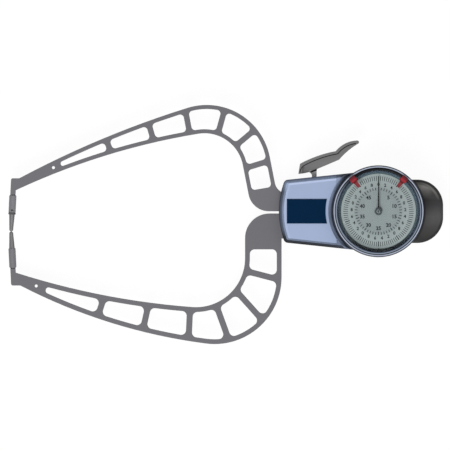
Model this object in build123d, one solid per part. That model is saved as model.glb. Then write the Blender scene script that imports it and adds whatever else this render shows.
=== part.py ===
from build123d import *
import os
from math import acos, asin, atan2, ceil, cos, degrees, hypot, pi, radians, sin, sqrt, tan

# Outside dial caliper: two bowed lattice arms, a fixed lower one and a swinging upper one, a tapered
# housing with a round dial, and a grip behind it. It lies flat on its back.
# X runs to the grip, Y to the swinging arm, Z to the reader of the dial.
# The origin is the dial's axis where it meets the plane that the back lies on.
# Millimetres and degrees.

os.makedirs("parts", exist_ok=True)

# Measuring range, pivot and contacts
RANGE = 50.0
PIVOT_X = -52.0
CONTACT_X = -244.8
CONTACT_Y = -13.4
CONTACT_LEAN = 2.76
CONTACT_GAP = 0.06

# Heights of the stack, from the back
PARTING_Z = 13.0
FRONT_Z = 24.0
ARM_THICK = 5.0
POCKET_Z = 20.5
POCKET_FLOOR = 2.0
WALL = 2.5
PANEL_THICK = 0.5
LABEL_THICK = 0.4

# Housing outline
DIAL_ROUND = 27.25
BODY_FLARE = 6.0
BODY_LEFT_X = -66.3
BODY_LEFT_RADIUS = 57.0
BODY_CORNER = 3.0
BODY_BEVEL = 2.2
BACK_BEVEL = 1.0
PANEL_INSET_SIDE = 2.3
PANEL_INSET_LEFT = 3.2
PANEL_END_X = -27.7
POCKET_GAP = 0.7
POCKET_BEVEL = 1.9
LABEL_LEFT_X = -61.0
LABEL_HALF_HEIGHT = 8.15
LABEL_EDGE = 2.05
MOUTH_DEPTH = 6.5
ARM_PAD_INSET = 7.5
ARM_PAD_BACK = 0.6

# Fixed arm, measured with its own side turned up
FIXED_OUTER_ROOT = 12.5
FIXED_INNER_ROOT = 36.85
FIXED_OUTER_BEND = 44.65
FIXED_OUTER_RISE = 43.9
FIXED_INNER_BEND = 32.74
FIXED_INNER_RISE = 31.2
FIXED_OUTER_BACK = 372.7
FIXED_INNER_BACK = 510.3
FIXED_OUTER_HEEL = (-238.7, 49.5)
FIXED_INNER_HEEL_Y = 40.9
FIXED_ROOT_CORNER = 16.3
FIXED_ROOT_EDGE = 1.45
FIXED_ROOT_FLOOR = 18.2
FIXED_ROOT_END_X = -38.0
FIXED_ROOT_TOP = 10.2
FIXED_FLANGE = 3.2
FIXED_RIB = 4.08
FIXED_RIBS = [
    (-78.1, 42.5, 14.6),
    (-86.3, 62.5, 48.1),
    (-103.9, 74.1, 70.1),
    (-126.0, 75.1, 92.5),
    (-155.1, 70.7, 102.5),
    (-185.0, 63.9, 107.6),
]
FIXED_WINDOW_ROOT = (-76.4, 25.4, 0.0)
FIXED_WINDOW_TIP = (-221.8, 52.8, 90.0)
FIXED_WINDOW_CORNER = 3.2
FIXED_TIP_WINDOW_CORNER = 2.0
FIXED_TIP_HOLE = (-228.1, 49.8)

# Moving arm, at rest
MOVING_TILT = 11.1
MOVING_OUTER_ROOT = 13.0
MOVING_INNER_ROOT = 31.7
MOVING_OUTER_BEND = 42.9
MOVING_OUTER_RISE = 39.5
MOVING_INNER_BEND = 26.05
MOVING_INNER_RISE = 37.8
MOVING_OUTER_BACK = 649.3
MOVING_INNER_BACK = 463.9
MOVING_OUTER_HEEL = (-239.4, 22.0)
MOVING_INNER_HEEL_Y = 14.0
MOVING_ROOT_CORNER = 13.7
MOVING_ROOT_EDGE = 0.0
MOVING_NECK_TOP = 11.96
MOVING_NECK_FILLET = 8.43
MOVING_FLANGE = 2.7
MOVING_RIB = 3.83
MOVING_RIBS = [
    (-80.9, 31.1, 17.0),
    (-88.8, 48.9, 39.9),
    (-104.75, 59.4, 74.6),
    (-127.2, 59.75, 100.6),
    (-151.5, 52.9, 106.0),
    (-179.85, 43.65, 110.5),
]
MOVING_WINDOW_ROOT = (-79.7, 14.8, 9.9)
MOVING_WINDOW_TIP = (-211.8, 31.8, 78.6)
MOVING_WINDOW_CORNER = 2.5
MOVING_TIP_WINDOW_CORNER = 1.4
MOVING_TIP_HOLE = (-216.6, 29.1)
TIP_HOLE_RADIUS = 1.0
TIP_CORNER = 1.2
ARM_EDGE = 0.2

# Contacts and their holders
TIP_LENGTH = 11.2
TIP_BASE_RADIUS = 1.85
TIP_END_RADIUS = 1.3
HOLDER_LENGTH = 13.6
HOLDER_RADIUS = 2.4
HOLDER_CHAMFER = 0.8
HOLDER_TAPER = 1.2
HOLDER_LIP = 0.35
STUB_HALF_WIDTH = 1.75
SPIGOT_RADIUS = 1.3
SPIGOT_LENGTH = 6.0
SPIGOT_ROOT = 0.5
SHANK_RADIUS = 1.1
SHANK_LENGTH = 4.6
SET_SCREW_RADIUS = 0.8
SET_SCREW_BACK = 2.8
SET_SLOT_DEPTH = 0.4
SET_SLOT_WIDTH = 0.35
COLLAR_LENGTH = 1.2
COLLAR_PROUD = 0.12

# Pivot
HUB_RADIUS = 9.0
HUB_CLEARANCE = 0.6
BUSH_RADIUS = 4.5
PIVOT_RADIUS = 3.0
PIVOT_HEAD_RADIUS = 5.0
PIVOT_HEAD = 1.5
PIVOT_SLOT_WIDTH = 1.0
PIVOT_SLOT_DEPTH = 0.7
BOSS_RADIUS = 5.0
WASHER_RADIUS = 5.6
WASHER_THICK = 0.5
RUNNING = 0.04
TAIL_LENGTH = 24.0
TAIL_HALF_WIDTH = 4.5
STOP_PIN_RADIUS = 1.5
STOP_PIN_REACH = 19.0

# Thumb lever
LEVER_PAD_LOW = 7.0
LEVER_PAD_HIGH = 19.0
LEVER_WEB_LOW = 11.0
LEVER_STEM_LEFT = -44.3
LEVER_STEM_RIGHT = -41.1
LEVER_STEM_THICK = 2.5
LEVER_FOOT_LEFT = -48.2
LEVER_FOOT_RIGHT = -37.4
LEVER_FOOT_LOW = 6.6
LEVER_STEM_TOP = 29.0
LEVER_FOOT_RUN_OUT = 1.0
LEVER_STRIP = (1.7, -2.4)
LEVER_HEEL = (-53.3, 24.9)
LEVER_TOP_LEFT = (-52.2, 31.7)
LEVER_BACK = (-35.0, 38.6)
LEVER_NECK = (-28.4, 40.1)
LEVER_CROOK = (-21.9, 45.3)
LEVER_TIP_TOP = (-14.3, 47.2)
LEVER_TIP_END = (-12.9, 46.1)
LEVER_TIP_LOW = (-13.7, 44.9)
LEVER_THROAT = (-20.3, 40.2)
LEVER_KNEE = (-26.1, 34.4)
LEVER_UNDER = (-40.2, 28.4)
LEVER_BELLY = (-46.6, 26.0)
LEVER_SLOT_LEFT = -47.6
LEVER_SLOT_RIGHT = -32.3
LEVER_SLOT_DEPTH = 8.5
ARM_SLOT_TOP = 19.4
ARM_SLOT_GAP = 0.12
LEVER_SCREW_INSET = 2.6

# Return spring
SPRING_WIRE = 0.8
SPRING_RADIUS = 6.6
SPRING_TURNS = 3.25
SPRING_PITCH = 1.2
SPRING_LOW = 4.6
SPRING_LEG = 8.0
SPRING_LEG_END = 0.7
POST_RADIUS = 1.0
POST_PROUD = 1.2

# Gear train
INTERMEDIATE_X = -10.0
LAY_Y = 9.0
SECTOR_TEETH = 206
SECTOR_PINION_TEETH = 17
INTERMEDIATE_TEETH = 40
SHORT_GEAR_TEETH = 20
SHORT_WHEEL_TEETH = 50
LAY_PINION_TEETH = 10
LAY_WHEEL_TEETH = 40
CENTRE_PINION_TEETH = 20
SECTOR_SPARE = 2
SECTOR_THICK = 1.0
SECTOR_RIM = 4.5
SECTOR_SCREW_INSETS = (9.12, 3.36)
SPOKE_START = 12.0
SPOKE_FLARE = 0.5
SPOKE_OVERLAP = 1.0
SPOKE_HOLE = 2.4
SPOKE_HOLE_PAST = 5.5
GEAR_PRESSURE_ANGLE = 25.0
GEAR_ADDENDUM = 0.8
GEAR_DEDENDUM = 1.15
GEAR_BACKLASH = 0.14
WHEEL_THICK = 0.8
PINION_PROUD = 0.3

# Movement
PLATE_RADIUS = 18.7
PLATE_THICK = 1.5
LOWER_PLATE_Z = 4.0
PILLAR_RADIUS = 1.8
PILLAR_CIRCLE = 16.5
PILLAR_ANGLES = (60, 120, 240, 300)
PLATE_SCREW_GRIP = 3.5
ARBOR_RADIUS = 0.8
ARBOR_PIVOT_RADIUS = 0.5
CENTRE_ARBOR_RADIUS = 0.6
TUBE_RADIUS = 1.3
TUBE_BORE = 0.75
LAY_WHEEL_Z = 8.0
SHORT_WHEEL_Z = 10.2
INTERMEDIATE_WHEEL_Z = 12.8
HAIRSPRING_Z = 6.3
HAIRSPRING_HEIGHT = 0.7
HAIRSPRING_STRIP = 0.25
HAIRSPRING_START = 1.6
HAIRSPRING_STEP = 0.55
HAIRSPRING_HALF_TURNS = 8
STUD_SIDE = 0.6

# Dial and bezel
BEZEL_RADIUS = 30.6
BEZEL_LOW = 22.3
BEZEL_TOP = 31.8
BEZEL_WALL = 2.05
BEZEL_STEP = 0.55
BEZEL_LIP = 0.8
BEZEL_ROUND = 0.45
GROOVE_INSET = 1.6
GROOVE_WIDTH = 0.55
GROOVE_DEPTH = 0.9
CASE_TOP = 24.6
CASE_WALL = 2.3
CASE_FLANGE_INSET = 0.8
CASE_HOLE = 6.0
DIAL_Z = 25.7
DIAL_THICK = 0.8
DIAL_HOLE = 1.8
RING_TOP = 29.6
RING_EDGE = 1.0
RING_SLOPE = 2.1
RETAINER_WIDTH = 1.4
GASKET_THICK = 0.3
CRYSTAL_THICK = 1.2
SNAP_RING_THICK = 0.6
SNAP_RING_GAP_ANGLE = 20.0

# Hands
SHORT_HAND_REACH = 11.6
SHORT_HAND_Z = 27.0
SHORT_HAND_HUB = 1.9
SHORT_HAND_HALF_WIDTH = 0.55
LARGE_HAND_END_GAP = 1.4
LARGE_HAND_Z = 28.3
LARGE_HAND_HALF_WIDTH = 0.38
HAND_THICK = 0.3
HAND_TAPER = 0.7
HAND_POINT = 3.0
HAND_HUB_RADIUS = 2.2
HAND_HUB_THICK = 0.77
HUB_SLEEVE_RADIUS = 1.1
HUB_SLEEVE_DROP = 0.2
HUB_CAP_RADIUS = 1.54
HUB_CAP_SLOPE = 0.31
HUB_RECESS = 0.11

# Tolerance markers
MARKER_ANGLE = 38.5
MARKER_INSET = 1.2
MARKER_HEAD_LENGTH = 4.3
MARKER_HEAD_HALF_WIDTH = 2.35
MARKER_HEAD_HEIGHT = 2.0
MARKER_CORNER = 1.05
MARKER_EDGE = 0.6
MARKER_REACH = 4.6
MARKER_TIP_CORNER = 0.65
MARKER_FOOT_HALF_WIDTH = 1.65
MARKER_ROOT_HALF_WIDTH = 1.6
MARKER_TIP_HALF_WIDTH = 1.1
MARKER_BLADE = 0.8
MARKER_LIFT = 0.12

# Grip
GRIP_END_X = 43.2
GRIP_HALF_WIDTH = 21.15
GRIP_CORNER = 17.3
GRIP_TOP = 20.0
GRIP_CROWN_RADIUS = 62.0
GRIP_CROWN_X = 26.0
GRIP_WALL = 2.4
GRIP_COVER = 2.5
GRIP_EDGE = 1.4
GRIP_HEAD_SINK = 1.5
GRIP_SCREW_SHORT = 5.0
GRIP_SCREW_END = 1.0
TONGUE_THICK = 2.5
TONGUE_HALF_WIDTH = 8.0
TONGUE_END_X = 37.0
TONGUE_ROOT = 1.0
TONGUE_SCREWS = [(32.5, 5.0), (32.5, -5.0)]

# Screws
SCREW_RADIUS = 1.5
SCREW_HEAD_RADIUS = 2.75
SCREW_HEAD = 2.6
SMALL_SCREW_RADIUS = 0.9
SMALL_HEAD_RADIUS = 1.7
SMALL_HEAD = 0.9
SCREW_FIT = 0.1
SCREW_SINK = 0.3
SCREW_END_GAP = 0.5
FRONT_SOCKET = 0.8
HOUSING_BOSS = 3.5
HOUSING_SCREWS = [(-28.5, 18.3), (-28.5, -18.3), (13.5, 19.0), (13.5, -19.0)]
ARM_SCREWS = [(-59.0, -14.3), (-49.5, -14.8), (-41.2, -14.2)]
DOWELS = [(-54.3, -14.6), (-45.3, -14.6)]
DOWEL_RADIUS = 1.0
DOWEL_BACK = 3.0
DOWEL_FRONT = 2.0
CASE_SCREW_CIRCLE = 12.5
CASE_SCREW_ANGLES = (0, 120, 240)

# What follows from the sizes above
ARM_LOW = PARTING_Z - ARM_THICK / 2
ARM_HIGH = PARTING_Z + ARM_THICK / 2
ROOF_Z = FRONT_Z - WALL
POCKET_UNDER = POCKET_Z - POCKET_FLOOR
ARM_REACH = hypot(CONTACT_X - PIVOT_X, CONTACT_Y)
OPEN_ANGLE = 2 * degrees(asin(RANGE / 2 / ARM_REACH))
POCKET_RADIUS = BEZEL_RADIUS + POCKET_GAP
PANEL_DIAL_RADIUS = POCKET_RADIUS + POCKET_BEVEL
LABEL_DIAL_RADIUS = PANEL_DIAL_RADIUS + LABEL_EDGE
BEZEL_SEAT_RADIUS = BEZEL_RADIUS - BEZEL_WALL
BEZEL_BORE = BEZEL_SEAT_RADIUS - BEZEL_STEP
BEZEL_OPENING = BEZEL_BORE - BEZEL_LIP
GROOVE_OUT = BEZEL_RADIUS - GROOVE_INSET
GROOVE_IN = GROOVE_OUT - GROOVE_WIDTH
RING_TOP_RADIUS = BEZEL_BORE - RING_EDGE
DIAL_VIEW_RADIUS = RING_TOP_RADIUS - RING_SLOPE
LARGE_HAND_REACH = DIAL_VIEW_RADIUS - LARGE_HAND_END_GAP
MARKER_HEAD_OUT = BEZEL_RADIUS - MARKER_INSET
MARKER_HEAD_IN = MARKER_HEAD_OUT - MARKER_HEAD_LENGTH
MARKER_TIP_RADIUS = MARKER_HEAD_IN - MARKER_REACH
BOSS_TOP = ARM_LOW - WASHER_THICK - RUNNING
BOSS_BOTTOM = ARM_HIGH + WASHER_THICK + RUNNING
SECTOR_Z = ARM_HIGH
TAIL_ANGLE = OPEN_ANGLE / 2
UPPER_PLATE_Z = POCKET_UNDER - PLATE_THICK
LOWER_PLATE_TOP = LOWER_PLATE_Z + PLATE_THICK
CRYSTAL_Z = RING_TOP + GASKET_THICK
CRYSTAL_TOP = CRYSTAL_Z + CRYSTAL_THICK
DIAL_TOP = DIAL_Z + DIAL_THICK
PIVOT = (PIVOT_X, 0.0)

FAR = 400.0


def point(centre, radius, angle):
    """Point on a circle, the angle in degrees."""
    return (centre[0] + radius * cos(radians(angle)), centre[1] + radius * sin(radians(angle)))


def bearing(start, end):
    """Angle in degrees of the way from one point to another."""
    return degrees(atan2(end[1] - start[1], end[0] - start[0]))


def arc(centre, radius, start_angle, end_angle):
    return CenterArc(centre, radius, start_angle, end_angle - start_angle)


def slab(face, low, high):
    """Solid with a flat outline between two heights."""
    return extrude(Pos(0, 0, low) * face, high - low)


def rod(place, radius, low, high):
    return Pos(place[0], place[1], low) * Cylinder(
        radius, high - low, align=(Align.CENTER, Align.CENTER, Align.MIN)
    )


def ring(inner, outer, low, high):
    return rod((0, 0), outer, low, high) - rod((0, 0), inner, low, high)


def turned(*profile):
    """Solid of revolution about Z from (radius, height) points."""
    outline = Polyline(*[(r, 0, z) for r, z in profile], close=True)
    return revolve(make_face(outline), Axis.Z, 360)


def block(left, right, near, far, low, high):
    return Pos(left, near, low) * Box(
        right - left, far - near, high - low, align=(Align.MIN, Align.MIN, Align.MIN)
    )


def polygon(*points):
    return make_face(Polyline(*points, close=True))


def strip(x, y, angle, width, length=FAR / 8):
    """Straight bar seen from above, by its middle, direction and width."""
    return Pos(x, y) * Rot(0, 0, angle) * Rectangle(length, width)


def save(name, *solids):
    shape = solids[0] if len(solids) == 1 else Compound(list(solids))
    export_step(shape, f"parts/{name}.step")


# Arms

class Bow:
    """The two long edges of an arm, with the arm's own side turned up.

    Each edge is a straight root, a bend tangent to it, and a shallow back tangent to the bend.
    """

    def __init__(self, tilt, roots, bends, rises, backs, heels):
        self.along = (-sin(radians(tilt)), cos(radians(tilt)))
        self.away = (-cos(radians(tilt)), -sin(radians(tilt)))
        self.tilt = tilt
        self.roots = roots
        self.bends = bends
        self.centres = [
            self.place(root + bend, rise) for root, bend, rise in zip(roots, bends, rises)
        ]
        self.backs = backs
        self.heels = heels
        self.back_centres = [
            self.back_centre(c, b, h, r)
            for c, b, h, r in zip(self.centres, bends, heels, backs)
        ]

    def place(self, away, along):
        """Point by its distance from the pivot across and along the root."""
        x = PIVOT_X + self.away[0] * away + self.along[0] * along
        y = self.away[1] * away + self.along[1] * along
        return (x, y)

    def back_centre(self, bend_centre, bend, heel, back):
        """Centre of the back: it touches the bend from outside and passes the heel."""
        apart = hypot(heel[0] - bend_centre[0], heel[1] - bend_centre[1])
        reach = back - bend
        lean = degrees(acos((apart**2 + reach**2 - back**2) / (2 * apart * reach)))
        return point(bend_centre, reach, bearing(bend_centre, heel) + lean)

    def edge(self, side, inset, start, end_x):
        """Edge 0 is the outer one and 1 the inner one, moved into the arm by inset."""
        sign = -1 if side == 0 else 1
        bend, back = self.bends[side] + sign * inset, self.backs[side] + sign * inset
        centre, back_centre = self.centres[side], self.back_centres[side]
        bend_start = point(centre, bend, self.tilt)
        touch = bearing(back_centre, centre)
        reach = sqrt(back**2 - (end_x - back_centre[0]) ** 2)
        end = (end_x, back_centre[1] + reach)
        return [
            Line(start, bend_start),
            arc(centre, bend, self.tilt, touch),
            arc(back_centre, back, touch, bearing(back_centre, end)),
        ], end


def heel_of_inner_edge(heel_y, contact_y):
    """Where the inner edge meets the stub that carries the contact holder."""
    lean = tan(radians(CONTACT_LEAN))
    return (CONTACT_X + lean * (heel_y - contact_y) + STUB_HALF_WIDTH, heel_y)


def stub_corners(contact_y, block_y):
    """Outer corner of the tip block and the two corners of the stub's end."""
    lean = radians(CONTACT_LEAN)
    end = TIP_LENGTH + HOLDER_LENGTH
    along = (sin(lean), cos(lean))
    across = (cos(lean) * STUB_HALF_WIDTH, -sin(lean) * STUB_HALF_WIDTH)
    middle = (CONTACT_X + along[0] * end, contact_y + along[1] * end)
    left = (middle[0] - across[0], middle[1] - across[1])
    right = (middle[0] + across[0], middle[1] + across[1])
    outer = (left[0] + tan(lean) * (block_y - left[1]), block_y)
    return outer, left, right


def arm_outline(bow, contact_y, root_start, root_end):
    """Arm seen from above: outer edge, tip block, stub, inner edge."""
    outer_heel, inner_heel = bow.heels
    outer, left, right = stub_corners(contact_y, outer_heel[1])
    outer_edge, outer_end = bow.edge(0, 0, root_start, outer_heel[0])
    inner_edge, inner_end = bow.edge(1, 0, root_end, inner_heel[0])
    tip = Polyline(outer_end, outer, left, right, inner_end)
    return outer_edge, inner_edge, tip, outer


def windows(bow, flange, thick, ribs, root, tip, corner, tip_corner, start_along):
    """Lightening windows: the band between the flanges, cut by the ribs and the solid ends."""
    end_x = tip[0] - flange
    start = bow.place(bow.roots[0] + flange, start_along)
    finish = bow.place(bow.roots[1] - flange, start_along)
    outer_edge, outer_end = bow.edge(0, flange, start, end_x)
    inner_edge, inner_end = bow.edge(1, flange, finish, end_x)
    band = make_face(outer_edge + [Line(outer_end, inner_end)] + inner_edge + [Line(finish, start)])
    for x, y, angle in ribs:
        band -= strip(x, y, angle, thick)
    deep = FAR / 8
    band -= strip(*point(root[:2], deep / 2, root[2] - 90), root[2], deep, FAR / 4)
    band -= strip(*point(tip[:2], deep / 2, tip[2] + 90), tip[2], deep, FAR / 4)
    *openings, last = sorted(band.faces(), key=lambda face: -face.center().X)
    alone = Sketch() + last
    eased_tip = fillet(alone.vertices().sort_by(Axis.X)[-2:], corner)
    return [rounded(face, corner) for face in openings] + [rounded(eased_tip, tip_corner)]


def rounded(face, radius):
    """Outline with its corners rounded, by moving it in and out again."""
    inner = offset(Sketch() + face, -radius, kind=Kind.INTERSECTION)
    return offset(inner, radius, kind=Kind.ARC)


def eased(solid, size):
    """Takes the sharpness off the edges of the flat faces of an arm."""
    flat = solid.faces().filter_by(Axis.Z)
    edges = flat.sort_by(Axis.Z)[-1].edges() + flat.sort_by(Axis.Z)[0].edges()
    return chamfer(edges, size)


def turn_over(face):
    """Mirror from the side-up frame to the lower arm."""
    return mirror(face, Plane.XZ)


def fixed_bow():
    inner = heel_of_inner_edge(FIXED_INNER_HEEL_Y, -CONTACT_Y)
    return Bow(
        0.0,
        (FIXED_OUTER_ROOT, FIXED_INNER_ROOT),
        (FIXED_OUTER_BEND, FIXED_INNER_BEND),
        (FIXED_OUTER_RISE, FIXED_INNER_RISE),
        (FIXED_OUTER_BACK, FIXED_INNER_BACK),
        (FIXED_OUTER_HEEL, inner),
    )


def moving_bow():
    inner = heel_of_inner_edge(MOVING_INNER_HEEL_Y, CONTACT_Y)
    return Bow(
        MOVING_TILT,
        (MOVING_OUTER_ROOT, MOVING_INNER_ROOT),
        (MOVING_OUTER_BEND, MOVING_INNER_BEND),
        (MOVING_OUTER_RISE, MOVING_INNER_RISE),
        (MOVING_OUTER_BACK, MOVING_INNER_BACK),
        (MOVING_OUTER_HEEL, inner),
    )


def spigot(upward):
    """Round end of an arm's stub that the contact holder is pressed on."""
    start = TIP_LENGTH + HOLDER_LENGTH - SPIGOT_LENGTH
    length = SPIGOT_LENGTH + SPIGOT_ROOT
    return contact_frame(upward) * Pos(0, 0, start) * Cylinder(
        SPIGOT_RADIUS, length, align=(Align.CENTER, Align.CENTER, Align.MIN)
    )


def contact_frame(upward):
    """Local frame of a contact: Z runs from the contact point into the arm, X to the reader."""
    side = 1 if upward else -1
    lean = radians(CONTACT_LEAN)
    axis = (sin(lean), side * cos(lean), 0)
    start = (CONTACT_X, CONTACT_Y, PARTING_Z)
    return Plane(origin=start, x_dir=(0, 0, 1), z_dir=axis).location


def fixed_arm():
    bow = fixed_bow()
    corner_x = PIVOT_X - FIXED_INNER_ROOT + FIXED_ROOT_CORNER
    corner = (corner_x, FIXED_ROOT_EDGE + FIXED_ROOT_CORNER)
    outer_x = PIVOT_X - FIXED_OUTER_ROOT
    root_start = (outer_x, FIXED_ROOT_FLOOR)
    root_end = (PIVOT_X - FIXED_INNER_ROOT, corner[1])
    outer_edge, inner_edge, tip, outer = arm_outline(bow, -CONTACT_Y, root_start, root_end)
    root = Polyline(
        (corner[0], FIXED_ROOT_EDGE),
        (PIVOT_X, FIXED_ROOT_EDGE),
        (PIVOT_X, FIXED_ROOT_TOP),
        (FIXED_ROOT_END_X, FIXED_ROOT_TOP),
        (FIXED_ROOT_END_X, FIXED_ROOT_FLOOR),
        root_start,
    )
    corner_arc = arc(corner, FIXED_ROOT_CORNER, 180, 270)
    face = make_face(outer_edge + [tip] + inner_edge + [corner_arc, root])
    face -= Pos(*PIVOT) * Circle(HUB_RADIUS + HUB_CLEARANCE)
    face = fillet(face.vertices().sort_by_distance(outer)[0], TIP_CORNER)
    openings = windows(
        bow, FIXED_FLANGE, FIXED_RIB, FIXED_RIBS, FIXED_WINDOW_ROOT, FIXED_WINDOW_TIP,
        FIXED_WINDOW_CORNER, FIXED_TIP_WINDOW_CORNER, FIXED_ROOT_FLOOR,
    )
    for opening in openings:
        face -= opening
    face -= Pos(*FIXED_TIP_HOLE) * Circle(TIP_HOLE_RADIUS)
    arm = eased(slab(turn_over(face), ARM_LOW, ARM_HIGH), ARM_EDGE)
    arm += spigot(False)
    for place in ARM_SCREWS:
        arm -= rod(place, SCREW_RADIUS + SCREW_FIT, ARM_LOW, ARM_HIGH)
    for place in DOWELS:
        arm -= rod(place, DOWEL_RADIUS, ARM_LOW, ARM_HIGH)
    return arm


def moving_arm():
    bow = moving_bow()
    away = MOVING_INNER_ROOT - MOVING_ROOT_CORNER
    corner_y = MOVING_ROOT_EDGE + MOVING_ROOT_CORNER
    along = (corner_y - bow.away[1] * away) / bow.along[1]
    corner = bow.place(away, along)
    fillet_away = MOVING_OUTER_ROOT - MOVING_NECK_FILLET
    fillet_y = MOVING_NECK_TOP + MOVING_NECK_FILLET
    fillet_along = (fillet_y - bow.away[1] * fillet_away) / bow.along[1]
    neck = bow.place(fillet_away, fillet_along)
    root_start = point(neck, MOVING_NECK_FILLET, 180 + MOVING_TILT)
    root_end = point(corner, MOVING_ROOT_CORNER, 180 + MOVING_TILT)
    outer_edge, inner_edge, tip, outer = arm_outline(bow, CONTACT_Y, root_start, root_end)
    root = Polyline(
        (corner[0], MOVING_ROOT_EDGE),
        (PIVOT_X, MOVING_ROOT_EDGE),
        (LEVER_FOOT_RIGHT, MOVING_ROOT_EDGE),
        (LEVER_FOOT_RIGHT, MOVING_NECK_TOP),
        (neck[0], MOVING_NECK_TOP),
    )
    corner_arc = arc(corner, MOVING_ROOT_CORNER, 180 + MOVING_TILT, 270)
    neck_arc = arc(neck, MOVING_NECK_FILLET, 270, 180 + MOVING_TILT)
    face = make_face(outer_edge + [tip] + inner_edge + [corner_arc, root, neck_arc])
    face = fillet(face.vertices().sort_by_distance(outer)[0], TIP_CORNER)
    face += Pos(*PIVOT) * Circle(HUB_RADIUS)
    tail = Rot(0, 0, TAIL_ANGLE) * Pos(TAIL_LENGTH / 2, 0) * Rectangle(TAIL_LENGTH, 2 * TAIL_HALF_WIDTH)
    face += Pos(*PIVOT) * tail
    openings = windows(
        bow, MOVING_FLANGE, MOVING_RIB, MOVING_RIBS, MOVING_WINDOW_ROOT, MOVING_WINDOW_TIP,
        MOVING_WINDOW_CORNER, MOVING_TIP_WINDOW_CORNER, 0.0,
    )
    for opening in openings:
        face -= opening
    face -= Pos(*MOVING_TIP_HOLE) * Circle(TIP_HOLE_RADIUS)
    arm = eased(slab(face, ARM_LOW, ARM_HIGH), ARM_EDGE)
    arm += spigot(True)
    arm -= rod(PIVOT, BUSH_RADIUS, ARM_LOW, ARM_HIGH)
    arm -= block(
        LEVER_FOOT_LEFT, LEVER_FOOT_RIGHT + LEVER_FOOT_RUN_OUT,
        LEVER_FOOT_LOW, MOVING_NECK_TOP + LEVER_FOOT_RUN_OUT,
        ARM_HIGH - LEVER_STEM_THICK, ARM_HIGH,
    )
    for place in lever_screw_places():
        arm -= rod(place, SMALL_SCREW_RADIUS + SCREW_FIT, ARM_LOW, ARM_HIGH)
    for place in sector_screw_places():
        arm -= rod(place, SMALL_SCREW_RADIUS + SCREW_FIT, ARM_LOW, ARM_HIGH)
    arm -= rod(arm_post_place(), POST_RADIUS, ARM_LOW, ARM_LOW + ARM_THICK / 2)
    return arm


def lever_screw_places():
    y = (LEVER_FOOT_LOW + MOVING_NECK_TOP) / 2
    return [(LEVER_FOOT_LEFT + LEVER_SCREW_INSET, y), (LEVER_FOOT_RIGHT - LEVER_SCREW_INSET, y)]


def sector_screw_places():
    return [point(PIVOT, TAIL_LENGTH - inset, TAIL_ANGLE) for inset in SECTOR_SCREW_INSETS]


def post_in_spring():
    """Post inside a spring leg's end: distance from the pivot, and angle past the coil's end."""
    inward = SPRING_RADIUS - SPRING_WIRE / 2 - POST_RADIUS - RUNNING
    return hypot(inward, SPRING_LEG), degrees(atan2(SPRING_LEG, inward))


def arm_post_place():
    """The spring's moving leg bears on a post under the arm's tail."""
    return point(PIVOT, post_in_spring()[0], TAIL_ANGLE)


# Contacts

def contact_tip(upward):
    dome = TIP_END_RADIUS
    gap = CONTACT_GAP / 2
    profile = [
        Line((SHANK_RADIUS, TIP_LENGTH + SHANK_LENGTH), (0, TIP_LENGTH + SHANK_LENGTH)),
        Line((0, TIP_LENGTH + SHANK_LENGTH), (0, gap)),
        ThreePointArc((0, gap), (dome * sin(pi / 4), gap + dome * (1 - cos(pi / 4))), (dome, gap + dome)),
        Line((dome, gap + dome), (TIP_BASE_RADIUS, TIP_LENGTH)),
        Line((TIP_BASE_RADIUS, TIP_LENGTH), (SHANK_RADIUS, TIP_LENGTH)),
        Line((SHANK_RADIUS, TIP_LENGTH), (SHANK_RADIUS, TIP_LENGTH + SHANK_LENGTH)),
    ]
    face = Plane.XZ * make_face(profile)
    return contact_frame(upward) * revolve(face, Axis.Z, 360)


def contact_holder(upward):
    """Barrel between the arm's stub and the contact tip. The set screw bears on the tip's shank."""
    start, end = TIP_LENGTH, TIP_LENGTH + HOLDER_LENGTH
    collar = COLLAR_LENGTH if upward else 0.0
    barrel = turned(
        (0, start + collar),
        (HOLDER_RADIUS - HOLDER_LIP, start + collar),
        (HOLDER_RADIUS, start + collar + HOLDER_LIP),
        (HOLDER_RADIUS, end - HOLDER_TAPER),
        (HOLDER_RADIUS - HOLDER_CHAMFER, end),
        (0, end),
    )
    barrel -= Pos(0, 0, start) * Cylinder(
        SHANK_RADIUS, SHANK_LENGTH, align=(Align.CENTER, Align.CENTER, Align.MIN)
    )
    barrel -= Pos(0, 0, end - SPIGOT_LENGTH) * Cylinder(
        SPIGOT_RADIUS, SPIGOT_LENGTH, align=(Align.CENTER, Align.CENTER, Align.MIN)
    )
    barrel -= set_screw_shape(upward, 0, SET_SCREW_RADIUS + SCREW_FIT / 2)
    return contact_frame(upward) * barrel


def set_screw_shape(upward, inner, radius):
    """Grub screw across the holder, from the reader's side above and from the back below."""
    side = 1 if upward else -1
    place = Pos(side * inner, 0, TIP_LENGTH + SET_SCREW_BACK) * Rot(0, side * 90, 0)
    return place * Cylinder(radius, HOLDER_RADIUS - inner, align=(Align.CENTER, Align.CENTER, Align.MIN))


def set_screw(upward):
    side = 1 if upward else -1
    screw = set_screw_shape(upward, SHANK_RADIUS, SET_SCREW_RADIUS)
    slot = Pos(side * HOLDER_RADIUS, 0, TIP_LENGTH + SET_SCREW_BACK) * Box(
        2 * SET_SLOT_DEPTH, 3 * SET_SCREW_RADIUS, SET_SLOT_WIDTH
    )
    return contact_frame(upward) * (screw - slot)


def contact_collar():
    """Lock ring at the mouth of the moving contact's holder."""
    collar = turned(
        (SHANK_RADIUS, TIP_LENGTH),
        (HOLDER_RADIUS - HOLDER_LIP, TIP_LENGTH),
        (HOLDER_RADIUS + COLLAR_PROUD, TIP_LENGTH + HOLDER_LIP),
        (HOLDER_RADIUS + COLLAR_PROUD, TIP_LENGTH + COLLAR_LENGTH),
        (SHANK_RADIUS, TIP_LENGTH + COLLAR_LENGTH),
    )
    return contact_frame(True) * collar


# Housing

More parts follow.
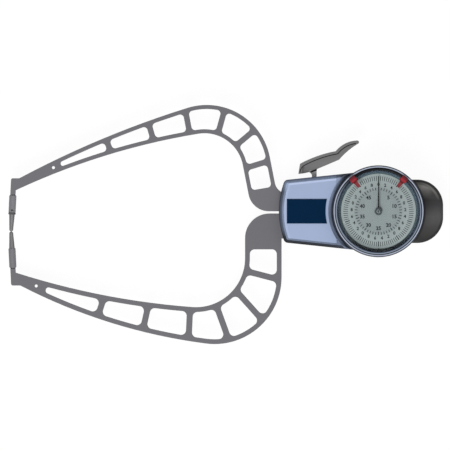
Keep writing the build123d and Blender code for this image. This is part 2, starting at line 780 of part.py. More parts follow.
def body_face(side_inset, left_inset):
    """Tapered outline that is tangent to the round under the dial, with an arc at the left end."""
    radius = DIAL_ROUND - side_inset
    touch = 90 + BODY_FLARE
    top = point((0, 0), radius, touch)
    far_x = BODY_LEFT_X - WALL
    far_y = (radius + far_x * sin(radians(BODY_FLARE))) / cos(radians(BODY_FLARE))
    wedge = polygon((far_x, far_y), top, (top[0], -top[1]), (far_x, -far_y))
    face = wedge + Circle(radius)
    end_radius = BODY_LEFT_RADIUS - left_inset
    face &= Pos(BODY_LEFT_X + BODY_LEFT_RADIUS, 0) * Circle(end_radius)
    corners = face.vertices().sort_by(Axis.X)[:2]
    return fillet(corners, max(BODY_CORNER - side_inset, BODY_CORNER / 4))


def arm_slot():
    """Mouth that both arms pass through, and the slot that the lever's stem swings in."""
    low, high = ARM_LOW - ARM_SLOT_GAP, ARM_HIGH + ARM_SLOT_GAP
    floor = -FIXED_ROOT_FLOOR - ARM_SLOT_GAP
    depth = BODY_LEFT_X + MOUTH_DEPTH
    mouth = block(BODY_LEFT_X - WALL, depth, floor, ARM_SLOT_TOP, low, high)
    inner = DIAL_ROUND - LEVER_SLOT_DEPTH
    return mouth + block(LEVER_SLOT_LEFT, LEVER_SLOT_RIGHT, inner, DIAL_ROUND, low, high)


def arm_pad(low, high):
    """Block inside the shells that clamps the fixed arm's root."""
    left = BODY_LEFT_X + ARM_PAD_INSET
    far = -FIXED_ROOT_TOP - ARM_PAD_BACK
    return block(left, FIXED_ROOT_END_X, -FIXED_ROOT_FLOOR, far, low, high)


def back_shell():
    shell = slab(body_face(0, 0), 0, PARTING_Z)
    rim = shell.faces().sort_by(Axis.Z)[0].edges()
    shell = chamfer(rim, BACK_BEVEL)
    shell -= slab(body_face(WALL, WALL), WALL, PARTING_Z)
    shell += rod(PIVOT, BOSS_RADIUS, WALL, BOSS_TOP)
    shell += arm_pad(WALL, ARM_LOW)
    for place in HOUSING_SCREWS:
        shell += rod(place, HOUSING_BOSS, WALL, PARTING_Z)
    shell += tongue()
    shell -= arm_slot()
    shell -= rod(PIVOT, PIVOT_RADIUS, 0, BOSS_TOP)
    shell -= rod(PIVOT, PIVOT_HEAD_RADIUS, 0, PIVOT_HEAD + SCREW_SINK)
    for place in HOUSING_SCREWS:
        shell -= rod(place, SCREW_RADIUS + SCREW_FIT, 0, PARTING_Z)
        shell -= rod(place, SCREW_HEAD_RADIUS + SCREW_FIT, 0, SCREW_HEAD + SCREW_SINK)
    for place in ARM_SCREWS:
        shell -= rod(place, SCREW_RADIUS + SCREW_FIT, 0, ARM_LOW)
        shell -= rod(place, SCREW_HEAD_RADIUS + SCREW_FIT, 0, SCREW_HEAD + SCREW_SINK)
    for place in DOWELS:
        shell -= rod(place, DOWEL_RADIUS, ARM_LOW - DOWEL_BACK, ARM_LOW)
    shell -= rod(fixed_post_place(), POST_RADIUS, WALL / 2, WALL)
    shell -= rod(stop_pin_place(), STOP_PIN_RADIUS, WALL / 2, WALL)
    for place in TONGUE_SCREWS:
        shell -= rod(place, SCREW_RADIUS + SCREW_FIT, GRIP_COVER, GRIP_COVER + TONGUE_THICK)
    return shell


def tongue():
    """Tab of the back shell that the grip is clamped on."""
    start = DIAL_ROUND - WALL - TONGUE_ROOT
    return block(
        start, TONGUE_END_X, -TONGUE_HALF_WIDTH, TONGUE_HALF_WIDTH,
        GRIP_COVER, GRIP_COVER + TONGUE_THICK,
    )


def front_shell():
    shell = slab(body_face(0, 0), PARTING_Z, FRONT_Z)
    rim = shell.faces().sort_by(Axis.Z)[-1].edges()
    shell = chamfer(rim, BODY_BEVEL)
    cavity = slab(body_face(WALL, WALL), PARTING_Z, ROOF_Z)
    cavity -= rod((0, 0), POCKET_RADIUS + WALL, POCKET_UNDER, ROOF_Z)
    shell -= cavity
    shell += rod(PIVOT, BOSS_RADIUS, BOSS_BOTTOM, ROOF_Z)
    shell += arm_pad(ARM_HIGH, ROOF_Z)
    for place in HOUSING_SCREWS:
        shell += rod(place, HOUSING_BOSS, PARTING_Z, POCKET_UNDER)
    pocket = rod((0, 0), POCKET_RADIUS, POCKET_Z, FRONT_Z)
    bevel = turned(
        (0, FRONT_Z - POCKET_BEVEL),
        (POCKET_RADIUS, FRONT_Z - POCKET_BEVEL),
        (PANEL_DIAL_RADIUS, FRONT_Z),
        (0, FRONT_Z),
    )
    shell -= pocket + bevel
    shell -= arm_slot()
    shell -= rod(PIVOT, PIVOT_RADIUS, BOSS_BOTTOM, ROOF_Z)
    for place in HOUSING_SCREWS:
        shell -= rod(place, SCREW_RADIUS + SCREW_FIT, PARTING_Z, POCKET_UNDER)
    for place in ARM_SCREWS:
        shell -= rod(place, SCREW_RADIUS + SCREW_FIT, ARM_HIGH, ROOF_Z)
    for place in DOWELS:
        shell -= rod(place, DOWEL_RADIUS, ARM_HIGH, ARM_HIGH + DOWEL_FRONT)
    shell -= rod((0, 0), CASE_HOLE, POCKET_UNDER, POCKET_Z)
    for place in case_screw_places():
        shell -= rod(place, SMALL_SCREW_RADIUS + SCREW_FIT, POCKET_UNDER, POCKET_Z)
    return shell


def face_panel():
    """Light blue panel on the front shell."""
    face = body_face(PANEL_INSET_SIDE, PANEL_INSET_LEFT)
    face &= polygon((-FAR, -FAR), (PANEL_END_X, -FAR), (PANEL_END_X, FAR), (-FAR, FAR))
    face -= Circle(PANEL_DIAL_RADIUS)
    panel = slab(face, FRONT_Z, FRONT_Z + PANEL_THICK)
    return chamfer(panel.faces().sort_by(Axis.Z)[-1].edges(), PANEL_THICK / 2)


def label_plate():
    """Bare plate on the panel."""
    half = LABEL_HALF_HEIGHT
    face = polygon((LABEL_LEFT_X, -half), (0, -half), (0, half), (LABEL_LEFT_X, half))
    face -= Circle(LABEL_DIAL_RADIUS)
    return slab(face, FRONT_Z + PANEL_THICK, FRONT_Z + PANEL_THICK + LABEL_THICK)


def socket_screw(place, low, high, radius, head_radius, head):
    """Cap screw with its head at the low end."""
    screw = rod(place, head_radius, low, low + head) + rod(place, radius, low + head, high)
    return screw - hex_socket(place, radius, low, low + head / 2)


def hex_socket(place, radius, low, high):
    return slab(Pos(*place) * RegularPolygon(radius, 6), low, high)


def front_screw(place, low, high, radius, head_radius, head):
    """Cap screw with its head at the high end."""
    screw = rod(place, radius, low, high - head) + rod(place, head_radius, high - head, high)
    return screw - hex_socket(place, radius * FRONT_SOCKET, high - head / 2, high)


def housing_screws():
    end = POCKET_UNDER - SCREW_END_GAP
    return [
        socket_screw(place, SCREW_SINK, end, SCREW_RADIUS, SCREW_HEAD_RADIUS, SCREW_HEAD)
        for place in HOUSING_SCREWS
    ]


def fixed_arm_screws():
    end = ROOF_Z - SCREW_END_GAP
    return [
        socket_screw(place, SCREW_SINK, end, SCREW_RADIUS, SCREW_HEAD_RADIUS, SCREW_HEAD)
        for place in ARM_SCREWS
    ]


def dowel_pins():
    low, high = ARM_LOW - DOWEL_BACK, ARM_HIGH + DOWEL_FRONT
    return [rod(place, DOWEL_RADIUS, low, high) for place in DOWELS]


# Grip

def grip_outline(inset):
    half = GRIP_HALF_WIDTH - inset
    end = GRIP_END_X - inset
    face = polygon((0, -half), (end, -half), (end, half), (0, half))
    return fillet(face.vertices().sort_by(Axis.X)[-2:], GRIP_CORNER - inset)


def grip_face(inset):
    return grip_outline(inset) - Circle(DIAL_ROUND + ARM_SLOT_GAP + inset)


def grip_cover():
    """Crowned grip behind the dial, open at the back."""
    crown_z = GRIP_TOP - GRIP_CROWN_RADIUS
    crown = Pos(GRIP_CROWN_X, 0, crown_z) * Rot(90, 0, 0) * Cylinder(GRIP_CROWN_RADIUS, FAR)
    grip = slab(grip_outline(0), GRIP_COVER, GRIP_TOP) & crown
    rim = [edge for edge in grip.faces().sort_by(Axis.Z)[-1].edges() if edge.center().X > GRIP_EDGE]
    grip = fillet(rim, GRIP_EDGE)
    grip -= rod((0, 0), DIAL_ROUND + ARM_SLOT_GAP, 0, GRIP_TOP)
    end_height = sqrt(GRIP_CROWN_RADIUS**2 - (GRIP_END_X - GRIP_CROWN_X) ** 2)
    ceiling = crown_z + end_height - GRIP_WALL
    slot = GRIP_COVER + TONGUE_THICK
    cavity = slab(grip_face(GRIP_WALL), GRIP_COVER, ceiling)
    for place in TONGUE_SCREWS:
        cavity -= rod(place, HOUSING_BOSS, slot, ceiling)
    grip -= cavity
    half_slot = TONGUE_HALF_WIDTH + ARM_SLOT_GAP
    grip -= block(0, TONGUE_END_X, -half_slot, half_slot, GRIP_COVER, slot)
    for place in TONGUE_SCREWS:
        grip -= rod(place, SCREW_RADIUS + SCREW_FIT, slot, ceiling - GRIP_SCREW_END)
    return grip


def grip_back_cover():
    cover = slab(grip_face(0), 0, GRIP_COVER)
    for place in TONGUE_SCREWS:
        cover -= rod(place, SCREW_RADIUS + SCREW_FIT, 0, GRIP_COVER)
        cover -= rod(place, SCREW_HEAD_RADIUS + SCREW_FIT, 0, GRIP_HEAD_SINK)
    return cover


def grip_screws():
    head = GRIP_HEAD_SINK - SCREW_SINK
    end = GRIP_TOP - GRIP_WALL - GRIP_SCREW_SHORT
    return [
        socket_screw(place, SCREW_SINK, end, SCREW_RADIUS, SCREW_HEAD_RADIUS, head)
        for place in TONGUE_SCREWS
    ]


# Pivot and spring

def pivot_pin():
    pin = rod(PIVOT, PIVOT_RADIUS, SCREW_SINK, ROOF_Z - SCREW_SINK)
    pin += rod(PIVOT, PIVOT_HEAD_RADIUS - SCREW_FIT, SCREW_SINK, SCREW_SINK + PIVOT_HEAD)
    slot = Pos(PIVOT_X, 0, SCREW_SINK) * Box(
        2 * PIVOT_HEAD_RADIUS, PIVOT_SLOT_WIDTH, 2 * PIVOT_SLOT_DEPTH
    )
    return pin - slot


def pivot_bush():
    return rod(PIVOT, BUSH_RADIUS, ARM_LOW, ARM_HIGH) - rod(
        PIVOT, PIVOT_RADIUS + RUNNING, ARM_LOW, ARM_HIGH
    )


def thrust_washers():
    hole = PIVOT_RADIUS + RUNNING
    lower = rod(PIVOT, WASHER_RADIUS, BOSS_TOP, BOSS_TOP + WASHER_THICK)
    upper = rod(PIVOT, WASHER_RADIUS, BOSS_BOTTOM - WASHER_THICK, BOSS_BOTTOM)
    return [washer - rod(PIVOT, hole, 0, FRONT_Z) for washer in (lower, upper)]


def spring_angles():
    """Angles of the coil's start and end about the pivot."""
    end = TAIL_ANGLE - post_in_spring()[1]
    return end - 360 * SPRING_TURNS, end


def fixed_post_place():
    """The spring's still leg bears on a post in the back shell."""
    reach, past = post_in_spring()
    return point(PIVOT, reach, spring_angles()[0] - past)


def return_spring():
    """Torsion spring round the back shell's pivot boss, with a straight leg to each post."""
    coil = Helix(SPRING_PITCH, SPRING_TURNS * SPRING_PITCH, SPRING_RADIUS)
    leg = SPRING_LEG + SPRING_LEG_END
    still_leg = Line(coil @ 0 - (coil % 0) * leg, coil @ 0)
    moving_leg = Line(coil @ 1, coil @ 1 + (coil % 1) * leg)
    path = Wire([still_leg, *coil.edges(), moving_leg])
    wire = sweep(Plane(origin=path @ 0, z_dir=path % 0) * Circle(SPRING_WIRE / 2), path=path)
    return Pos(PIVOT_X, 0, SPRING_LOW) * Rot(0, 0, spring_angles()[0]) * wire


def spring_posts():
    """The still post in the back shell, and the moving one in the arm's tail."""
    still = rod(fixed_post_place(), POST_RADIUS, WALL / 2, SPRING_LOW + POST_PROUD)
    top = SPRING_LOW + SPRING_TURNS * SPRING_PITCH
    moving = rod(arm_post_place(), POST_RADIUS, top - POST_PROUD, ARM_LOW + ARM_THICK / 2)
    return still, moving


def stop_pin_place():
    """Beside the arm's tail when the arm is fully open."""
    angle = TAIL_ANGLE - OPEN_ANGLE
    foot = point(PIVOT, STOP_PIN_REACH, angle)
    return point(foot, TAIL_HALF_WIDTH + STOP_PIN_RADIUS + RUNNING, angle - 90)


# Thumb lever

def lever_face():
    """Lever seen from above: a straight lower part, then a swan neck up to its tip."""
    outline = [
        Line(LEVER_HEEL, LEVER_TOP_LEFT),
        ThreePointArc(LEVER_TOP_LEFT, LEVER_BACK, LEVER_NECK),
        ThreePointArc(LEVER_NECK, LEVER_CROOK, LEVER_TIP_TOP),
        ThreePointArc(LEVER_TIP_TOP, LEVER_TIP_END, LEVER_TIP_LOW),
        ThreePointArc(LEVER_TIP_LOW, LEVER_THROAT, LEVER_KNEE),
        Line(LEVER_KNEE, LEVER_UNDER),
        ThreePointArc(LEVER_UNDER, LEVER_BELLY, LEVER_HEEL),
    ]
    return make_face(outline)


def lever_web_face():
    """The lever without the strip along its top, which is the edge of the thumb pad."""
    return lever_face() & (Pos(*LEVER_STRIP) * lever_face())


def lever_bracket():
    """Foot in the arm's pocket, stem through the slot in the housing, and web of the lever."""
    low = ARM_HIGH - LEVER_STEM_THICK
    foot = block(LEVER_FOOT_LEFT, LEVER_FOOT_RIGHT, LEVER_FOOT_LOW, MOVING_NECK_TOP, low, ARM_HIGH)
    stem = block(LEVER_STEM_LEFT, LEVER_STEM_RIGHT, LEVER_FOOT_LOW, LEVER_STEM_TOP, low, ARM_HIGH)
    bracket = foot + stem + slab(lever_web_face(), LEVER_WEB_LOW, ARM_HIGH)
    for place in lever_screw_places():
        bracket -= rod(place, SMALL_SCREW_RADIUS + SCREW_FIT, low, ARM_HIGH)
    return bracket


def thumb_pad():
    """Broad strip that the thumb presses, on the web's upper edge."""
    return slab(lever_face() - lever_web_face(), LEVER_PAD_LOW, LEVER_PAD_HIGH)


def lever_screws():
    low, high = ARM_LOW + SCREW_END_GAP, ARM_HIGH + SMALL_HEAD
    sizes = (SMALL_SCREW_RADIUS, SMALL_HEAD_RADIUS, SMALL_HEAD)
    return [front_screw(place, low, high, *sizes) for place in lever_screw_places()]


# Gear train

def gear_module(distance, teeth, other_teeth):
    return 2 * distance / (teeth + other_teeth)


SECTOR_MODULE = gear_module(INTERMEDIATE_X - PIVOT_X, SECTOR_TEETH, SECTOR_PINION_TEETH)
INTERMEDIATE_MODULE = gear_module(-INTERMEDIATE_X, INTERMEDIATE_TEETH, SHORT_GEAR_TEETH)
SHORT_WHEEL_MODULE = gear_module(LAY_Y, SHORT_WHEEL_TEETH, LAY_PINION_TEETH)
LAY_WHEEL_MODULE = gear_module(LAY_Y, LAY_WHEEL_TEETH, CENTRE_PINION_TEETH)


def involute(angle):
    return tan(angle) - angle


def tooth_flank(teeth, module):
    """Involute flank from root to tip, as (radius, half angle of the tooth in degrees)."""
    pressure = radians(GEAR_PRESSURE_ANGLE)
    pitch = teeth * module / 2
    base = pitch * cos(pressure)
    root, tip = pitch - GEAR_DEDENDUM * module, pitch + GEAR_ADDENDUM * module
    half_at_pitch = (pi - GEAR_BACKLASH) * module / (4 * pitch)
    flank = []
    for radius in sorted({root, max(root, base), pitch, (pitch + tip) / 2, tip}):
        angle = acos(min(1.0, base / radius)) if radius > base else 0.0
        flank.append((radius, degrees(half_at_pitch + involute(pressure) - involute(angle))))
    return flank


def tooth_points(teeth, module, middle):
    """Outline of one tooth, anticlockwise, from root to root."""
    flank = tooth_flank(teeth, module)
    rise = [point((0, 0), radius, middle - half) for radius, half in flank]
    fall = [point((0, 0), radius, middle + half) for radius, half in reversed(flank)]
    return rise + fall


def gear(centre, teeth, module, tooth_at, low, high, bore):
    """Spur gear with a tooth pointing at the angle tooth_at."""
    outline = []
    for tooth in range(teeth):
        outline += tooth_points(teeth, module, tooth_at + 360 * tooth / teeth)
    face = Pos(*centre) * polygon(*outline)
    if bore:
        face -= Pos(*centre) * Circle(bore)
    return slab(face, low, high)


def sector_gear():
    """Toothed fan on the arm's tail. A tooth points along X at rest."""
    pitch_angle = 360 / SECTOR_TEETH
    last = ceil(OPEN_ANGLE / pitch_angle) + SECTOR_SPARE
    outline = [(0, 0)]
    for tooth in range(-SECTOR_SPARE, last + 1):
        outline += tooth_points(SECTOR_TEETH, SECTOR_MODULE, tooth * pitch_angle)
    inner = SECTOR_TEETH * SECTOR_MODULE / 2 - SECTOR_RIM
    fan = polygon(*outline) - Circle(inner)
    end = inner + SPOKE_OVERLAP
    narrow, wide = TAIL_HALF_WIDTH - SPOKE_FLARE, TAIL_HALF_WIDTH + SPOKE_FLARE
    spoke = polygon((SPOKE_START, -narrow), (end, -wide), (end, wide), (SPOKE_START, narrow))
    spoke -= Pos(TAIL_LENGTH + SPOKE_HOLE_PAST, 0) * Circle(SPOKE_HOLE)
    face = Pos(*PIVOT) * (fan + Rot(0, 0, TAIL_ANGLE) * spoke)
    sector = slab(face, SECTOR_Z, SECTOR_Z + SECTOR_THICK)
    for place in sector_screw_places():
        sector -= rod(place, SMALL_SCREW_RADIUS + SCREW_FIT, SECTOR_Z, SECTOR_Z + SECTOR_THICK)
    return sector


def sector_screws():
    low, high = ARM_LOW + SCREW_END_GAP, SECTOR_Z + SECTOR_THICK + SMALL_HEAD
    sizes = (SMALL_SCREW_RADIUS, SMALL_HEAD_RADIUS, SMALL_HEAD)
    return [front_screw(place, low, high, *sizes) for place in sector_screw_places()]


INTERMEDIATE = (INTERMEDIATE_X, 0.0)
LAY = (0.0, LAY_Y)
ARBOR_LOW = LOWER_PLATE_TOP + RUNNING
ARBOR_HIGH = UPPER_PLATE_Z - RUNNING
ARBOR_TOP = UPPER_PLATE_Z + PLATE_THICK - SCREW_SINK


def arbor(place):
    """Shaft between the two plates, with a thinner pivot at each end."""
    shaft = rod(place, ARBOR_RADIUS, ARBOR_LOW, ARBOR_HIGH)
    return shaft + rod(place, ARBOR_PIVOT_RADIUS, LOWER_PLATE_Z + SCREW_SINK, ARBOR_TOP)


def intermediate_arbor():
    """Carries the pinion that the sector drives, and the hairspring's collet.

    A gap of the pinion faces the pivot.
    """
    gap = 180 + 180 / SECTOR_PINION_TEETH
    pinion = gear(
        INTERMEDIATE, SECTOR_PINION_TEETH, SECTOR_MODULE, gap,
        SECTOR_Z - PINION_PROUD, SECTOR_Z + SECTOR_THICK + PINION_PROUD, 0,
    )
    collet = HAIRSPRING_START - HAIRSPRING_STRIP / 2 - RUNNING
    hub = rod(INTERMEDIATE, collet, HAIRSPRING_Z, HAIRSPRING_Z + HAIRSPRING_HEIGHT)
    return arbor(INTERMEDIATE) + pinion + hub


def intermediate_wheel():
    return gear(
        INTERMEDIATE, INTERMEDIATE_TEETH, INTERMEDIATE_MODULE, 0,
        INTERMEDIATE_WHEEL_Z, INTERMEDIATE_WHEEL_Z + WHEEL_THICK, ARBOR_RADIUS,
    )


def short_hand_tube():
    """Tube round the centre arbor, with the gear that the intermediate wheel drives."""
    tube = ring(TUBE_BORE, TUBE_RADIUS, SHORT_WHEEL_Z - PINION_PROUD, SHORT_HAND_Z + 2 * HAND_THICK)
    gap = 180 + 180 / SHORT_GEAR_TEETH
    return tube + gear(
        (0, 0), SHORT_GEAR_TEETH, INTERMEDIATE_MODULE, gap,
        INTERMEDIATE_WHEEL_Z - PINION_PROUD, INTERMEDIATE_WHEEL_Z + WHEEL_THICK + PINION_PROUD, TUBE_BORE,
    )


def short_hand_wheel():
    return gear(
        (0, 0), SHORT_WHEEL_TEETH, SHORT_WHEEL_MODULE, 90,
        SHORT_WHEEL_Z, SHORT_WHEEL_Z + WHEEL_THICK, TUBE_RADIUS,
    )


def lay_arbor():
    gap = 270 + 180 / LAY_PINION_TEETH
    pinion = gear(
        LAY, LAY_PINION_TEETH, SHORT_WHEEL_MODULE, gap,
        SHORT_WHEEL_Z - PINION_PROUD, SHORT_WHEEL_Z + WHEEL_THICK + PINION_PROUD, 0,
    )
    return arbor(LAY) + pinion


def lay_wheel():
    return gear(
        LAY, LAY_WHEEL_TEETH, LAY_WHEEL_MODULE, 270,
        LAY_WHEEL_Z, LAY_WHEEL_Z + WHEEL_THICK, ARBOR_RADIUS,
    )


def centre_arbor():
    """Shaft of the large hand, with its pinion and a collar under the short hand's tube."""
    shaft = rod((0, 0), CENTRE_ARBOR_RADIUS, ARBOR_LOW, LARGE_HAND_Z + HAND_HUB_THICK - HUB_RECESS)
    shaft += rod((0, 0), ARBOR_PIVOT_RADIUS, LOWER_PLATE_Z + SCREW_SINK, ARBOR_LOW)
    collar_top = SHORT_WHEEL_Z - PINION_PROUD - RUNNING
    shaft += rod((0, 0), TUBE_RADIUS, LAY_WHEEL_Z, collar_top)
    gap = 90 + 180 / CENTRE_PINION_TEETH
    return shaft + gear(
        (0, 0), CENTRE_PINION_TEETH, LAY_WHEEL_MODULE, gap,
        LAY_WHEEL_Z - PINION_PROUD, LAY_WHEEL_Z + WHEEL_THICK + PINION_PROUD, 0,
    )


def hairspring_end():
    return HAIRSPRING_START + HAIRSPRING_STEP * HAIRSPRING_HALF_TURNS / 2


def hairspring():
    """Flat spiral round the intermediate arbor: half turns about two centres, half a step apart."""
    half_strip = HAIRSPRING_STRIP / 2
    spiral = None
    for half_turn in range(HAIRSPRING_HALF_TURNS):
        upper = half_turn % 2 == 0
        radius = HAIRSPRING_START + HAIRSPRING_STEP * half_turn / 2
        centre_x = 0.0 if upper else HAIRSPRING_STEP / 2
        band = Circle(radius + half_strip) - Circle(radius - half_strip)
        side = 1 if upper else -1
        band &= Pos(0, side * FAR / 2) * Rectangle(FAR, FAR)
        band = Pos(centre_x, 0) * band
        spiral = band if spiral is None else spiral + band
    return Pos(*INTERMEDIATE) * slab(spiral, HAIRSPRING_Z, HAIRSPRING_Z + HAIRSPRING_HEIGHT)


def hairspring_stud():
    """Square post on the lower plate that the spring's outer end is fixed to."""
    middle = INTERMEDIATE_X + hairspring_end()
    high = HAIRSPRING_Z + HAIRSPRING_HEIGHT
    return block(middle - STUD_SIDE / 2, middle + STUD_SIDE / 2, 0, STUD_SIDE, LOWER_PLATE_TOP, high)


# Movement frame

def pillar_places():
    return [point((0, 0), PILLAR_CIRCLE, angle) for angle in PILLAR_ANGLES]


def movement_plate(low, centre_hole, head_low):
    """Round plate with the bearing holes and the sunk heads of its screws."""
    high = low + PLATE_THICK
    plate = ring(centre_hole, PLATE_RADIUS, low, high)
    for place in (INTERMEDIATE, LAY):
        plate -= rod(place, ARBOR_PIVOT_RADIUS + RUNNING, low, high)
    for place in pillar_places():
        plate -= rod(place, SMALL_SCREW_RADIUS + SCREW_FIT, low, high)
        plate -= rod(place, SMALL_HEAD_RADIUS + SCREW_FIT / 2, head_low, head_low + SMALL_HEAD)
    return plate


def lower_plate():
    return movement_plate(LOWER_PLATE_Z, ARBOR_PIVOT_RADIUS + RUNNING, LOWER_PLATE_Z)


def upper_plate():
    high = UPPER_PLATE_Z + PLATE_THICK
    plate = movement_plate(UPPER_PLATE_Z, TUBE_RADIUS + RUNNING, high - SMALL_HEAD)
    for place in case_screw_places():
        plate -= rod(place, SMALL_SCREW_RADIUS + SCREW_FIT, UPPER_PLATE_Z, high)
    return plate


def movement_pillars():
    return [
        rod(place, PILLAR_RADIUS, LOWER_PLATE_TOP, UPPER_PLATE_Z)
        - rod(place, SMALL_SCREW_RADIUS + SCREW_FIT, LOWER_PLATE_TOP, UPPER_PLATE_Z)
        for place in pillar_places()
    ]


def plate_screws():
    sizes = (SMALL_SCREW_RADIUS, SMALL_HEAD_RADIUS, SMALL_HEAD - RUNNING)
    top = UPPER_PLATE_Z + PLATE_THICK - RUNNING
    end = UPPER_PLATE_Z - PLATE_SCREW_GRIP
    upper = [front_screw(place, end, top, *sizes) for place in pillar_places()]
    low, end = LOWER_PLATE_Z + RUNNING, LOWER_PLATE_TOP + PLATE_SCREW_GRIP
    lower = [socket_screw(place, low, end, *sizes) for place in pillar_places()]
    return upper + lower


def case_screw_places():
    return [point((0, 0), CASE_SCREW_CIRCLE, angle) for angle in CASE_SCREW_ANGLES]


def case_screws():
    top = POCKET_Z + PLATE_THICK - RUNNING
    low = UPPER_PLATE_Z + SCREW_SINK
    sizes = (SMALL_SCREW_RADIUS, SMALL_HEAD_RADIUS, SMALL_HEAD)
    return [front_screw(place, low, top, *sizes) for place in case_screw_places()]


# Dial and bezel

SNAP_Z = (POCKET_Z + PLATE_THICK + CASE_TOP) / 2


def dial_case():
    """Cup on the front shell that the bezel turns on."""
    floor_top = POCKET_Z + PLATE_THICK
    snap = SNAP_RING_THICK / 2 + RUNNING
    case = turned(
        (CASE_HOLE, POCKET_Z),
        (BEZEL_RADIUS - CASE_FLANGE_INSET, POCKET_Z),
        (BEZEL_RADIUS - CASE_FLANGE_INSET, floor_top),
        (BEZEL_SEAT_RADIUS, floor_top),
        (BEZEL_SEAT_RADIUS, SNAP_Z - snap),
        (BEZEL_BORE, SNAP_Z - snap),
        (BEZEL_BORE, SNAP_Z + snap),
        (BEZEL_SEAT_RADIUS, SNAP_Z + snap),
        (BEZEL_SEAT_RADIUS, CASE_TOP),
        (BEZEL_SEAT_RADIUS - CASE_WALL, CASE_TOP),
        (BEZEL_SEAT_RADIUS - CASE_WALL, floor_top),
        (CASE_HOLE, floor_top),
    )
    for place in case_screw_places():
        case -= rod(place, SMALL_SCREW_RADIUS + SCREW_FIT, POCKET_Z, floor_top)
        case -= rod(place, SMALL_HEAD_RADIUS + SCREW_FIT, floor_top - SMALL_HEAD - RUNNING, floor_top)
    return case


def snap_ring():
    """Split ring between the groove of the case and the groove of the bezel."""
    half = SNAP_RING_THICK / 2
    whole = ring(BEZEL_BORE + RUNNING, GROOVE_OUT - RUNNING, SNAP_Z - half, SNAP_Z + half)
    reach = 2 * BEZEL_RADIUS
    spread = reach * tan(radians(SNAP_RING_GAP_ANGLE / 2))
    mouth = polygon((0, 0), (reach, -spread), (reach, spread))
    return whole - slab(mouth, SNAP_Z - SNAP_RING_THICK, SNAP_Z + SNAP_RING_THICK)


def bezel_ring():
    seat = BEZEL_SEAT_RADIUS + RUNNING
    snap = SNAP_RING_THICK / 2 + 2 * RUNNING
    ledge = CASE_TOP + SCREW_SINK
    return turned(
        (seat, BEZEL_LOW),
        (BEZEL_RADIUS - BEZEL_ROUND, BEZEL_LOW),
        (BEZEL_RADIUS, BEZEL_LOW + BEZEL_ROUND),
        (BEZEL_RADIUS, BEZEL_TOP - 2 * BEZEL_ROUND),
        (BEZEL_RADIUS - BEZEL_ROUND / 3, BEZEL_TOP - BEZEL_ROUND / 2),
        (BEZEL_RADIUS - BEZEL_ROUND, BEZEL_TOP),
        (GROOVE_OUT, BEZEL_TOP),
        (GROOVE_OUT, BEZEL_TOP - GROOVE_DEPTH),
        (GROOVE_IN, BEZEL_TOP - GROOVE_DEPTH),
        (GROOVE_IN, BEZEL_TOP),
        (BEZEL_BORE - RUNNING, BEZEL_TOP),
        (BEZEL_OPENING, CRYSTAL_TOP),
        (BEZEL_BORE, CRYSTAL_TOP),
        (BEZEL_BORE, ledge),
        (seat, ledge),
        (seat, SNAP_Z + snap),
        (GROOVE_OUT, SNAP_Z + snap),
        (GROOVE_OUT, SNAP_Z - snap),
        (seat, SNAP_Z - snap),
    )


def dial_retainer():
    return ring(BEZEL_BORE - RETAINER_WIDTH, BEZEL_BORE, CASE_TOP + SCREW_SINK, DIAL_Z)


def dial_plate():
    return ring(DIAL_HOLE, BEZEL_BORE, DIAL_Z, DIAL_TOP)


def dial_ring():
    """Sloped ring between the dial and the crystal."""
    return turned(
        (DIAL_VIEW_RADIUS, DIAL_TOP),
        (BEZEL_BORE, DIAL_TOP),
        (BEZEL_BORE, RING_TOP),
        (RING_TOP_RADIUS, RING_TOP),
    )


def crystal_gasket():
    return ring(RING_TOP_RADIUS, BEZEL_BORE, RING_TOP, CRYSTAL_Z)


def crystal():
    return rod((0, 0), BEZEL_BORE, CRYSTAL_Z, CRYSTAL_TOP)


# Hands and markers

def hand_face(reach, half_width, hub, bore):
    """Needle that points up the dial, with a round hub."""
    needle = polygon(
        (-half_width, 0),
        (half_width, 0),
        (half_width * HAND_TAPER, reach - HAND_POINT * half_width),
        (0, reach),
        (-half_width * HAND_TAPER, reach - HAND_POINT * half_width),
    )
    return needle + Circle(hub) - Circle(bore)


def short_hand():
    face = hand_face(SHORT_HAND_REACH, SHORT_HAND_HALF_WIDTH, SHORT_HAND_HUB, TUBE_RADIUS)
    return slab(face, SHORT_HAND_Z, SHORT_HAND_Z + HAND_THICK)


def large_hand():
    face = hand_face(LARGE_HAND_REACH, LARGE_HAND_HALF_WIDTH, HAND_HUB_RADIUS, HUB_SLEEVE_RADIUS)
    return slab(face, LARGE_HAND_Z, LARGE_HAND_Z + HAND_THICK)


def hand_hub():
    """Cap that presses the large hand on the centre arbor."""
    top, high = LARGE_HAND_Z + HAND_THICK, LARGE_HAND_Z + HAND_HUB_THICK
    return turned(
        (CENTRE_ARBOR_RADIUS, LARGE_HAND_Z - HUB_SLEEVE_DROP),
        (HUB_SLEEVE_RADIUS, LARGE_HAND_Z - HUB_SLEEVE_DROP),
        (HUB_SLEEVE_RADIUS, top),
        (HUB_CAP_RADIUS, top),
        (HUB_CAP_RADIUS - HUB_CAP_SLOPE, high),
        (CENTRE_ARBOR_RADIUS, high),
    )


